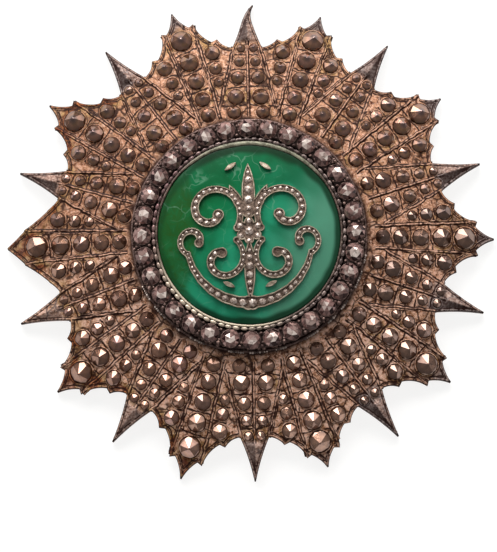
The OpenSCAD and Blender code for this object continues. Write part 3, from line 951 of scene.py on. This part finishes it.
def bezel_shape():
    """The thin wall round the enamel: its lip was pressed further over the enamel at the top."""
    def rows_at(a):
        olive = smooth_step(0.55, 0.92, cos_of(a - BEZEL_OLIVE_AT))
        cream = smooth_step(0.55, 0.9, cos_of(a - BEZEL_CREAM_AT))
        bumps = uneven(*on_circle(1, a), 3, 33)
        lip_r = BEZEL_INNER_R - 0.4 * olive * (0.8 + 0.6 * bumps) - 0.08 * max(0, bumps)
        rows = [(BEZEL_OUTER_R, MEDALLION_FOOT_Z, 1), (BEZEL_OUTER_R, BEZEL_TOP_Z - 0.15, 0.6),
                (BEZEL_OUTER_R - 0.07, BEZEL_TOP_Z - 0.02, 0.1), (lip_r + 0.16, BEZEL_TOP_Z, 0),
                (lip_r + 0.05, BEZEL_TOP_Z - 0.05, 0.2), (lip_r, BEZEL_TOP_Z - 0.12, 0.9),
                (BEZEL_INNER_R, MEDALLION_FOOT_Z, 1)]
        return [(r, z + 0.03 * bumps, (dirt_and_shade, olive, cream)) for r, z, dirt_and_shade in rows]

    shape = Shape()
    revolve(shape, MEDALLION, BEZEL_STEPS, rows_at)
    return shape


def enamel_z(x, y):
    """Height of the enamel at x, y of the medallion."""
    return math.sqrt(ENAMEL_BALL_R ** 2 - x * x - y * y) + ENAMEL_BALL_Z


def enamel_shape():
    """The enamel's dome, with its marks (olive, pale as a painted reflection, rim), and a skirt down into
    the bezel.
    """
    rings, steps = ENAMEL_RINGS, ENAMEL_STEPS
    points, marks = [(*MEDALLION, enamel_z(0, 0))], [(0, 0, 0)]
    for n in range(1, rings + 1):
        r = ENAMEL_R * (n / rings) ** 0.9
        for i in range(steps):
            x, y = on_circle(r, 360 * i / steps)
            swell = 0.05 * uneven(x, y, 0.28, 2) * (1 - (r / ENAMEL_R) ** 6)
            round_off = 0.03 * max(0, (r - ENAMEL_R + 0.4) / 0.4) ** 2
            points.append((x + MEDALLION[0], y + MEDALLION[1], enamel_z(x, y) + swell - round_off))
            wander = 1.6 * uneven(x, y, 0.3, 8)
            olive = smooth_step(7.5, 9.5, -x - 0.2 * abs(y - 1) + wander)
            # A painted reflection of soft light, pale on the right side
            pale = smooth_step(2, 11, 0.85 * x - 0.3 * y + 1.8 * wander)
            side = 0.5 + 0.5 * smooth_step(-12, -7, x)
            top = 0.7 * smooth_step(0.3, 0.9, y / r)
            rim = side * smooth_step(ENAMEL_R - 1.4 - top, ENAMEL_R - 0.6 - 0.7 * top, r + 0.3 * wander)
            marks.append((olive, pale, rim))
    points += [(x, y, ENAMEL_FOOT_Z) for x, y, _ in points[-steps:]]
    marks += [(0, 0, 1)] * steps
    faces = [(0, 1 + i, 1 + (i + 1) % steps) for i in range(steps)]
    for n in range(rings):
        faces += band_faces(1 + n * steps, 1 + (n + 1) * steps, steps)
    shape = Shape()
    shape.add(points, faces, marks)
    return shape


def top_of(node):
    """The points, upper faces and rim loops of a CAD node, in millimetres."""
    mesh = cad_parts[node].data
    key_of, points, number = {}, [], []
    for v in mesh.vertices:
        key = tuple(round(c * 1e6) for c in v.co)
        if key not in key_of:
            key_of[key] = len(points)
            points.append(tuple(c / MM for c in v.co))
        number.append(key_of[key])
    upper = [tuple(number[i] for i in face.vertices) for face in mesh.polygons if face.normal.z > UPWARD]
    edges = dict.fromkeys(edge for face in upper for edge in zip(face, face[1:] + face[:1]))
    next_of = {a: b for a, b in edges if (b, a) not in edges}
    loops = []
    while next_of:
        loop = [next(iter(next_of))]
        at = next_of.pop(loop[0])
        while at != loop[0]:
            loop.append(at)
            at = next_of.pop(at)
        loops.append(loop)
    return points, upper, loops


def inward(loop, i, points):
    """The direction that points into the stroke at a loop's point i, and how far its corner widens it."""
    a, p, b = (points[loop[j % len(loop)]] for j in (i - 1, i, i + 1))
    d1 = Vector((p[0] - a[0], p[1] - a[1])).normalized()
    d2 = Vector((b[0] - p[0], b[1] - p[1])).normalized()
    across = Vector((-d1.y, d1.x))
    side = Vector((-d1.y - d2.y, d1.x + d2.x))
    if side.length < 1e-6:
        side = across.copy()
    side.normalize()
    return side, 1 / max(0.6, side.dot(across))


def ornament_shapes():
    """The pale walls of the ornament's channels, and the dark beds between them."""
    walls, beds = Shape(), Shape()
    points, upper, loops = top_of("ornament")
    small = set()
    for loop in loops:
        length = sum(math.dist(points[a], points[b]) for a, b in zip(loop, loop[1:] + loop[:1]))
        if length < PLAIN_LENGTH:
            small.update(loop)
        made, marks = [], []
        for i, n in enumerate(loop):
            x, y, z = points[n]
            side, widen = inward(loop, i, points)
            worn = 0.04 * uneven(x, y, 1, 4)
            thick = WALL * widen * (1 + 3 * worn)
            for share, height, dirt_and_shade in WALL_ROWS:
                made.append((x + side.x * thick * share, y + side.y * thick * share, z + height + worn))
                marks.append((dirt_and_shade, 0, 0))
        walls.add(made, strip_faces(len(loop), len(WALL_ROWS)), marks)
    for face in upper:
        plain = all(n in small for n in face)
        drop = 0.02 if plain else BED_DEPTH
        corners = [(x, y, z - drop) for x, y, z in (points[n] for n in face)]
        (walls if plain else beds).add(corners, [tuple(range(len(face)))])
    return walls, beds


def scroll_places(row):
    """(x, y, inner width) at close steps along a scroll."""
    x, y, start, end = row
    found = []
    for i in range(SCROLL_STEPS + 1):
        r, a, w = (p + (q - p) * i / SCROLL_STEPS for p, q in zip(start, end))
        dx, dy = on_circle(r, a)
        found.append((x + dx, y + dy, w - 2 * WALL))
    return found


def leaf_places(row):
    """(x, y, inner width) at close steps along a leaf."""
    x, y, angle, length, width = row
    found = []
    for i in range(1, LEAF_STEPS):
        t = i / LEAF_STEPS
        dx, dy = on_circle(length * t, angle)
        found.append((x + dx, y + dy, width * 4 * t * (1 - t) - 2 * WALL))
    return found


def bead_stones():
    """(x, y, width) of each small stone of the ornament, in the medallion's own frame."""
    paths = [[(0, ROSETTE_Y, 1.7)]]
    for i in range(PETALS):
        x, y = on_circle(PETAL_CIRCLE_R, 90 + i * 360 / PETALS)
        paths.append([(x, y + ROSETTE_Y, 1.2)])
    paths += [leaf_places(row) for row in MIDDLE_LEAVES]
    half = [scroll_places(row) for row in SCROLLS] + [leaf_places(row) for row in SIDE_LEAVES]
    for side in (-1, 1):
        paths += [[(side * x, y, w) for x, y, w in path] for path in half]
    stones = []
    for x, y, w in (place for path in paths for place in path):
        d = min(SMALL_STONE_MAX, max(SMALL_STONE_MIN, w * 0.92))
        clear = all(math.hypot(x - sx, y - sy) > 0.5 * (d + sd) + SMALL_STONE_GAP for sx, sy, sd in stones)
        if w > 0.3 and clear:
            stones.append((x, y, d))
    return stones


def small_stone_shape():
    """Rose-cut stones in a row along each channel."""
    shape = Shape()
    rng = random.Random(97)
    n = 8
    for x, y, d in bead_stones():
        base = enamel_z(x, y) + ORNAMENT_GAP + ORNAMENT_H - BED_DEPTH - 0.04
        r, h, turn = d / 2, min(0.42, 0.4 * d), rng.uniform(0, 45)
        up = Vector((x, y, ENAMEL_BALL_R)).normalized()
        points = []
        for share, height, shift in ((1, -0.1, 0), (1, 0.25, 0), (0.66, 0.75, 0.5)):
            for i in range(n):
                px, py = on_circle(r * share, turn + 360 * (i + shift) / n)
                points.append((px, py, h * height * rng.uniform(0.92, 1.05)))
        points.append((0, 0, h * 1.05))
        leaning = [(px + MEDALLION[0] + x + up.x * pz, py + MEDALLION[1] + y + up.y * pz,
                    base + pz - (px * up.x + py * up.y)) for px, py, pz in points]
        faces = []
        for i in range(n):
            j = (i + 1) % n
            faces += [(i, j, n + j, n + i), (n + i, n + j, 2 * n + i),
                      (2 * n + i, n + j, 2 * n + j), (2 * n + i, 2 * n + j, 3 * n)]
        shape.add(leaning, faces, None, [rng.random() for _ in faces])
    return shape


class Nodes:
    """Adds shader nodes to a tree, one call a node."""

    def __init__(self, tree):
        self.tree = tree
        tree.nodes.clear()

    def fill(self, socket, value):
        """A socket takes another's output, or a plain value."""
        if isinstance(value, bpy.types.NodeSocket):
            self.tree.links.new(value, socket)
        elif isinstance(value, tuple) and socket.type == "RGBA":
            socket.default_value = (*value, 1)
        else:
            socket.default_value = value

    def add(self, kind, *values, **named):
        """The outputs of a new node. values fill its sockets in order.

        Small names are the node's settings, and others its sockets, with _ for a space.
        """
        node = self.tree.nodes.new("ShaderNode" + kind)
        for name, value in named.items():
            if name.islower():
                setattr(node, name, value)
        for socket, value in zip(node.inputs, values):
            self.fill(socket, value)
        for name, value in named.items():
            if not name.islower():
                self.fill(node.inputs[name.replace("_", " ")], value)
        return node.outputs

    def split(self, vector):
        """The three numbers of a vector or colour."""
        return self.add("SeparateXYZ", vector)


class Finish(Nodes):
    """A procedural material. base is its colour so far."""

    def __init__(self, name):
        self.material = bpy.data.materials.new(name)
        self.material.use_nodes = True
        super().__init__(self.material.node_tree)
        self.coords = self.add("TexCoord")["Object"]
        self.base = None
        self.relief = {}

    def noise(self, size_mm, detail=3.0, roughness=0.55, distortion=0.0):
        return self.add("TexNoise", Vector=self.coords, Scale=1 / (size_mm * MM), Detail=detail,
                        Roughness=roughness, Distortion=distortion)["Fac"]

    def cracks(self, size_mm, wander):
        """Distance to the borders of a net of cells about that wide, as a share of their size."""
        size = size_mm * MM
        bend = self.add("TexNoise", Vector=self.coords, Scale=1.2 / size)["Color"]
        place = self.add("VectorMath", bend, [wander * size] * 3, self.coords, operation="MULTIPLY_ADD")[0]
        return self.add("TexVoronoi", Vector=place, Scale=1 / size, feature="DISTANCE_TO_EDGE")["Distance"]

    def ramp(self, value, low, high, to_low=0.0, to_high=1.0):
        return self.add("MapRange", Value=value, From_Min=low, From_Max=high, To_Min=to_low, To_Max=to_high,
                        interpolation_type="SMOOTHSTEP")["Result"]

    def math(self, kind, a, b):
        return self.add("Math", a, b, operation=kind)[0]

    def mix(self, share, a, b):
        return self.add("Mix", Factor=share, A=a, B=b, data_type="RGBA")["Result"]

    def blend(self, value, low, high, a, b):
        """Colour a where the value is low, b where it is high."""
        return self.mix(self.ramp(value, low, high), a, b)

    def over(self, colour, share, *shares):
        """Lays a colour over the base, where all the shares let it."""
        for other in shares:
            share = self.math("MULTIPLY", share, other)
        self.base = self.mix(share, self.base, colour)

    def marks(self):
        """The three numbers that are painted on the points."""
        return self.split(self.add("Attribute", attribute_name="marks")["Color"])[:3]

    def facet(self):
        return self.add("Attribute", attribute_name="facet")["Fac"]

    def bump(self, strength, distance_mm, height, finer=None):
        """Relief from a height, with a finer one added to it."""
        if finer:
            height = self.math("ADD", height, finer)
        normal = self.add("Bump", Strength=strength, Distance=distance_mm * MM, Height=height)["Normal"]
        self.relief["Normal"] = normal

    def finish(self, **values):
        """The material, once the shader's sockets are set: names with _ for a space."""
        shader = self.add("BsdfPrincipled", Base_Color=self.base, **self.relief, **values)
        self.add("OutputMaterial", Surface=shader["BSDF"])
        return self.material


def tarnished_silver():
    """The star's silver: mottled rose tan, dark in the hollows with grime and painted shade, with rust and
    blackened stains.
    """
    m = Finish("tarnished_silver")
    dirt_and_shade, stain, grey = m.marks()
    broad = m.noise(3.2, 4, 0.6)
    patch = m.noise(1.1, 5, 0.7, 0.6)
    speck = m.noise(0.4, 3, 0.7)
    x, y, _ = m.split(m.coords)
    pitted = m.ramp(y, -0.02, 0.025, 0.62, 0.5)
    worn = m.math("SUBTRACT", patch, m.ramp(y, -0.02, 0.025, 0.01, 0.02))
    m.base = m.blend(worn, 0.355, 0.475, (0.1, 0.026, 0.011), (0.6, 0.3, 0.178))
    m.over((1, 0.72, 0.58), m.ramp(speck, 0.53, 0.6), pitted)
    m.over((0.03, 0.006, 0.003), m.ramp(speck, 0.49, 0.42), pitted)
    m.over((0.25, 0.115, 0.045), m.ramp(broad, 0.45, 0.65, 0, 0.45))
    # Paler patches low on the star, and browner at the upper left
    m.over((0.78, 0.53, 0.43), m.ramp(patch, 0.47, 0.58), m.ramp(y, 0.008, -0.016, 0, 0.65))
    # Paler on the crests of the raised lines: polish wear, and partly a painted highlight
    m.over((0.64, 0.38, 0.28), m.ramp(m.facet(), 0.55, 0.95, 0, 0.5))
    m.over((0.2, 0.075, 0.035), m.ramp(x, -0.008, -0.026, 0, 0.3), m.ramp(y, -0.012, 0.01))
    rust = m.blend(patch, 0.4, 0.6, (0.13, 0.025, 0.008), (0.46, 0.165, 0.06))
    gold = m.blend(patch, 0.4, 0.6, (0.22, 0.11, 0.025), (0.6, 0.38, 0.14))
    film = m.blend(stain, 0.42, 0.7, gold, rust)
    m.over(film, m.ramp(stain, 0, 0.7), m.ramp(broad, 0.3, 0.55))
    m.over((0.025, 0.007, 0.004), m.ramp(m.cracks(2.1, 0.55), 0.085, 0.03), m.ramp(broad, 0.42, 0.55), 0.9)
    black = m.blend(speck, 0.4, 0.65, (0.13, 0.09, 0.085), (0.42, 0.34, 0.315))
    m.over(black, grey, m.ramp(patch, 0.1, 0.35))
    # Grime, and painted shade round the bosses, by the ring, at the lines' feet and on the spikes' shaded
    # flanks
    m.over((0.02, 0.005, 0.003), m.ramp(dirt_and_shade, 0, 0.85, 0, 0.985))
    m.bump(0.6, 0.1, patch, m.math("MULTIPLY", speck, 0.6))
    return m.finish(Metallic=0.15, Specular_IOR_Level=0.15, Roughness=m.ramp(speck, 0.3, 0.7, 0.4, 0.62))


def boss_metal():
    """Burnished brown bosses, some rosier or golden, with painted shade that darkens them at the point and
    toward the foot.
    """
    m = Finish("boss_metal")
    dirt_and_shade, stain, height = m.marks()
    cloud = m.noise(0.9, 4, 0.6)
    fine = m.noise(0.25, 2, 0.5)
    x, y, _ = m.split(m.coords)
    upper = m.ramp(y, -0.012, 0.02)
    m.base = m.mix(m.facet(), (0.335, 0.15, 0.083), (0.53, 0.262, 0.162))
    m.over((0.54, 0.3, 0.2), m.ramp(cloud, 0.5, 0.7, 0, 0.5))
    m.over((0.42, 0.21, 0.185), stain, m.ramp(cloud, 0.4, 0.6))
    m.over((0.56, 0.35, 0.25), m.ramp(m.math("SUBTRACT", x, y), 0.008, 0.03, 0, 0.4))
    m.over((0.34, 0.17, 0.05), m.ramp(m.noise(1.3, 2, 0.5), 0.5, 0.57, 0, 0.6), upper)
    # Painted shade at the point, stronger on the upper bosses
    m.over((0.11, 0.075, 0.085), m.ramp(height, 0.62, 0.95), m.ramp(upper, 0, 1, 0.25, 0.75))
    # Painted shade, darker from the shoulder toward the foot
    m.over((0.08, 0.03, 0.02), m.ramp(height, 0.72, 0.42, 0, 0.5))
    m.over((0.4, 0.2, 0.07), m.ramp(height, 0.3, 0.05), m.ramp(cloud, 0.4, 0.55))
    # Grime all over, and painted contact shadow at the foot and girdle
    m.over((0.035, 0.014, 0.01), dirt_and_shade, 0.9)
    m.bump(0.1, 0.04, cloud, m.math("MULTIPLY", fine, 0.5))
    return m.finish(Metallic=0.85, Roughness=m.ramp(fine, 0.3, 0.7, 0.09, 0.17),
                    Coat_Weight=0.7, Coat_IOR=1.75, Coat_Roughness=0.08)


def ring_metal():
    """Blackened silver, brown in its hollows; the foot wire's grains are painted a pale rosy grey, as wear
    and as painted light in the ring's shade.
    """
    m = Finish("ring_metal")
    dirt_and_shade, _, worn = m.marks()
    cloud = m.noise(0.7, 4, 0.7)
    fine = m.noise(0.2, 3, 0.6)
    m.base = m.blend(cloud, 0.38, 0.62, (0.09, 0.048, 0.042), (0.44, 0.29, 0.25))
    m.over((0.6, 0.43, 0.37), m.ramp(fine, 0.55, 0.7))
    # Pale grains on the foot wire: wear, and painted light where the ring shades them
    m.over((1, 0.85, 0.77), worn, 0.9)
    m.over((0.013, 0.006, 0.007), dirt_and_shade, 0.93)
    m.bump(0.5, 0.08, cloud, fine)
    return m.finish(Metallic=0.5, Specular_IOR_Level=0.25, Roughness=m.ramp(fine, 0.3, 0.7, 0.3, 0.5))


def cut_stone():
    """Old rose-cut stones on dark foil: dark mauve brown sides, and facets on top painted pale as
    highlights.
    """
    m = Finish("cut_stone")
    facet = m.facet()
    depth = m.noise(0.6, 3, 0.6)
    m.base = m.blend(facet, 0, 0.45, (0.025, 0.01, 0.011), (0.42, 0.25, 0.225))
    # Painted highlights on the top facets, the palest near white as painted glints
    m.over(m.blend(facet, 0.5, 1, (0.34, 0.215, 0.19), (1, 0.86, 0.78)), m.ramp(facet, 0.46, 0.49))
    m.over((0.05, 0.03, 0.028), m.ramp(depth, 0.5, 0.66, 0, 0.6))
    m.bump(0.1, 0.03, depth)
    return m.finish(Metallic=0.5, Roughness=0.11, IOR=1.5, Coat_Weight=0.12, Coat_Roughness=0.05)


def milled_silver():
    """The milled wire: brown grey, rosy on one side and bright cream on another."""
    m = Finish("milled_silver")
    dirt_and_shade, pink, cream = m.marks()
    cloud = m.noise(0.45, 3, 0.7)
    m.base = m.blend(cloud, 0.4, 0.6, (0.055, 0.035, 0.032), (0.33, 0.25, 0.225))
    m.over((0.24, 0.1, 0.115), pink, 0.65)
    m.over((0.62, 0.52, 0.4), cream, 0.9)
    m.over((0.03, 0.016, 0.015), dirt_and_shade)
    m.bump(0.4, 0.06, cloud)
    return m.finish(Metallic=0.5, Roughness=0.34)


def bezel_silver():
    """The bezel: brown, grey olive at the top and cream at the lower left."""
    m = Finish("bezel_silver")
    dirt_and_shade, olive, cream = m.marks()
    cloud = m.noise(1.1, 4, 0.6)
    m.base = m.blend(cloud, 0.4, 0.6, (0.05, 0.028, 0.022), (0.14, 0.085, 0.07))
    m.over(m.blend(cloud, 0.4, 0.6, (0.085, 0.08, 0.05), (0.22, 0.215, 0.15)), olive)
    m.over((0.4, 0.34, 0.27), m.ramp(m.noise(0.3, 3, 0.6), 0.56, 0.68, 0, 0.6))
    m.over((0.66, 0.56, 0.42), cream, 0.9)
    m.over((0.03, 0.02, 0.014), dirt_and_shade)
    m.bump(0.6, 0.1, cloud)
    return m.finish(Metallic=0.3, Roughness=0.45)


def green_enamel():
    """Glassy emerald enamel: olive on one side, a painted pale reflection on the other, a dark rim, and
    fine wrinkles painted pale as reflections.
    """
    m = Finish("green_enamel")
    olive, pale, rim = m.marks()
    cloud = m.noise(5.5, 3, 0.5, 0.5)
    streak = m.noise(1.8, 5, 0.6, 1.5)
    x, y, _ = m.split(m.coords)
    cool = m.ramp(m.math("SUBTRACT", x, y), -0.014, 0.008)
    deep = m.mix(cool, (0.003, 0.098, 0.028), (0.012, 0.16, 0.083))
    bright = m.mix(cool, (0.003, 0.155, 0.053), (0.022, 0.29, 0.165))
    m.base = m.blend(cloud, 0.35, 0.65, deep, bright)
    # The painted reflection on the right side
    m.over((0.085, 0.26, 0.173), pale, 0.85)
    m.over((0.018, 0.068, 0.009), olive, m.ramp(streak, 0.35, 0.6, 0.8, 0.5))
    # Wrinkles painted pale as reflections, stronger toward the top
    wrinkle = m.math("MULTIPLY", m.ramp(m.cracks(3.4, 0.9), 0.035, 0.008), m.ramp(cloud, 0.45, 0.6))
    m.over((0.2, 0.4, 0.28), wrinkle, m.ramp(y, 0.002, 0.009, 0.1, 0.5))
    m.over((0.08, 0.28, 0.16), m.ramp(streak, 0.6, 0.78, 0, 0.3))
    m.over((0.002, 0.07, 0.03), m.ramp(y, 0.003, 0.013, 0, 0.4))
    m.over((0.002, 0.022, 0.007), rim, 0.9)
    m.bump(0.1, 0.12, streak, m.noise(0.6, 4, 0.6, 2))
    return m.finish(Metallic=0.0, Roughness=0.3, Specular_IOR_Level=0.08,
                    Coat_Weight=0.08, Coat_Roughness=0.06)


def channel_silver():
    """The pale worn walls of the ornament."""
    m = Finish("channel_silver")
    cloud = m.noise(0.9, 4, 0.6)
    m.base = m.blend(cloud, 0.35, 0.65, (0.27, 0.2, 0.145), (0.58, 0.49, 0.38))
    m.over((0.035, 0.03, 0.016), m.marks()[0])
    m.bump(0.25, 0.05, cloud)
    return m.finish(Metallic=0.55, Roughness=0.36)


def channel_bed():
    """The dark beds of the ornament's channels."""
    m = Finish("channel_bed")
    cloud = m.noise(0.4, 4, 0.6)
    m.base = m.blend(cloud, 0.35, 0.65, (0.05, 0.03, 0.02), (0.24, 0.165, 0.125))
    m.bump(0.5, 0.08, cloud)
    return m.finish(Metallic=0.5, Roughness=0.5)


def small_stone():
    """The small rose-cut stones: cloudy greyish white, brighter facet by facet, the brightest painted near
    white as glints.
    """
    m = Finish("small_stone")
    facet = m.facet()
    m.base = m.blend(facet, 0.1, 0.8, (0.2, 0.145, 0.12), (0.55, 0.44, 0.38))
    # Painted glints: the brightest facets near white
    m.over((0.85, 0.76, 0.69), m.ramp(facet, 0.85, 0.97))
    m.over((0.22, 0.155, 0.125), m.ramp(m.noise(0.6, 3, 0.6), 0.5, 0.7, 0, 0.4))
    return m.finish(Metallic=0.3, Roughness=0.2, IOR=1.6, Coat_Weight=0.2)


def pin_silver():
    """Satin silver of the pin, with dark scratches and pits."""
    m = Finish("pin_silver")
    cloud = m.noise(2.5, 4, 0.6)
    fine = m.noise(0.3, 3, 0.6)
    m.base = m.blend(cloud, 0.35, 0.65, (0.3, 0.25, 0.23), (0.55, 0.48, 0.45))
    m.over((0.12, 0.08, 0.07), m.ramp(fine, 0.62, 0.75, 0, 0.5))
    m.bump(0.15, 0.06, cloud, fine)
    return m.finish(Metallic=0.85, Roughness=m.ramp(cloud, 0.3, 0.7, 0.26, 0.42))


def pale_floor():
    m = Finish("pale_floor")
    m.base = m.mix(m.noise(40, 2), (0.22, 0.22, 0.215), (0.24, 0.24, 0.24))
    return m.finish(Roughness=0.9, Emission_Color=(1, 1, 0.995), Emission_Strength=0.83)


def build_star():
    silver = tarnished_silver()
    make_piece("plate", plate_shape(), silver, ["star_plate"], True)
    relief = {"raised_lines": line_shape(), "cross_creases": cross_shape(), "scalloped_rims": edge_shape(),
              "spike_grains": spike_bead_shape(), "boss_seats": seat_shape()}
    for name, shape in relief.items():
        make_piece(name, shape, silver, smooth=True)
    metal = boss_metal()
    make_piece("cut_ray_bosses", boss_shape(RAY_BOSSES, 5), metal, ["ray_bosses"])
    make_piece("cut_spike_bosses", boss_shape(ALL_SPIKE_BOSSES, 6), metal, ["spike_bosses"])


def build_medallion():
    make_piece("stone_setting", ring_shape(), ring_metal(), ["stone_ring"], True)
    stone = cut_stone()
    for i in range(STONES):
        make_piece(f"cut_stone_{i + 1:02d}", stone_shape(i), stone, [f"ring_stone_{i + 1:02d}"])
    make_piece("milled_wire", milled_shape(), milled_silver(), ["milled_rim"], True)
    make_piece("bezel_wall", bezel_shape(), bezel_silver(), ["bezel"], True)
    make_piece("enamel", enamel_shape(), green_enamel(), ["enamel_disc"], True)
    walls, beds = ornament_shapes()
    make_piece("ornament_walls", walls, channel_silver(), ["ornament"])
    make_piece("ornament_beds", beds, channel_bed())
    make_piece("ornament_stones", small_stone_shape(), small_stone())


def finish_pin():
    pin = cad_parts["pin"]
    pin.data.materials.clear()
    pin.data.materials.append(pin_silver())


def make_camera():
    data = bpy.data.cameras.new("camera")
    camera = add_object("camera", data)
    x, y = math.sin(math.radians(CAMERA_ASIDE)), -math.sin(math.radians(CAMERA_DOWN))
    back = Vector((x, y, math.sqrt(1 - x * x - y * y)))
    up = (Vector((0, 1, 0)) - back * back.y).normalized()
    right = up.cross(back)
    c, s = on_circle(1, CAMERA_ROLL)
    turn = Matrix((right * c - up * s, right * s + up * c, back)).transposed().to_4x4()
    camera.matrix_world = Matrix.Translation(back * CAMERA_D) @ turn
    data.sensor_width = SENSOR
    data.lens = CAMERA_D / MM / MM_PER_PIXEL / IMAGE_H * SENSOR
    data.shift_x = (IMAGE_W / 2 - STAR_PIXEL[0]) / IMAGE_H
    data.shift_y = -(IMAGE_H / 2 - STAR_PIXEL[1]) / IMAGE_H
    data.clip_start, data.clip_end = 0.01, 10
    bpy.context.scene.camera = camera


def area_light(name, azimuth, elevation, size, power, colour):
    """A soft light that looks at the star."""
    data = bpy.data.lights.new(name, "AREA")
    data.shape = "RECTANGLE"
    data.size, data.size_y = size
    data.energy = power
    data.color = colour
    light = add_object(name, data)
    level, height = on_circle(1, elevation)
    ahead, aside = on_circle(level, azimuth)
    away = Vector((aside, ahead, height))
    light.location = away * LIGHT_DISTANCE
    light.rotation_mode = "QUATERNION"
    light.rotation_quaternion = away.to_track_quat("Z", "Y")


def make_floor():
    mesh = bpy.data.meshes.new("floor")
    h = FLOOR_HALF
    mesh.from_pydata([(-h, -h, 0), (h, -h, 0), (h, h, 0), (-h, h, 0)], [], [(0, 1, 2, 3)])
    mesh.materials.append(pale_floor())
    floor = add_object("floor", mesh)


def make_sky():
    """A plain studio all round, a little lighter above and beyond the star's top."""
    world = bpy.data.worlds.new("studio")
    world.use_nodes = True
    m = Nodes(world.node_tree)
    _, y, z = m.split(m.add("TexCoord")["Generated"])[:3]
    height = m.add("Math", z, 1.6, y, operation="MULTIPLY_ADD")[0]
    strength = m.add("MapRange", Value=height, From_Min=-0.8, From_Max=1.6, To_Min=0.21, To_Max=0.32)
    background = m.add("Background", Color=(1, 0.98, 0.96), Strength=strength["Result"])
    m.add("OutputWorld", Surface=background["Background"])
    bpy.context.scene.world = world
    bpy.context.scene.view_settings.view_transform = "Standard"


build_star()
build_medallion()
finish_pin()
make_floor()
for light_name, light_row in LIGHTS.items():
    area_light(light_name, *light_row)
make_sky()
make_camera()
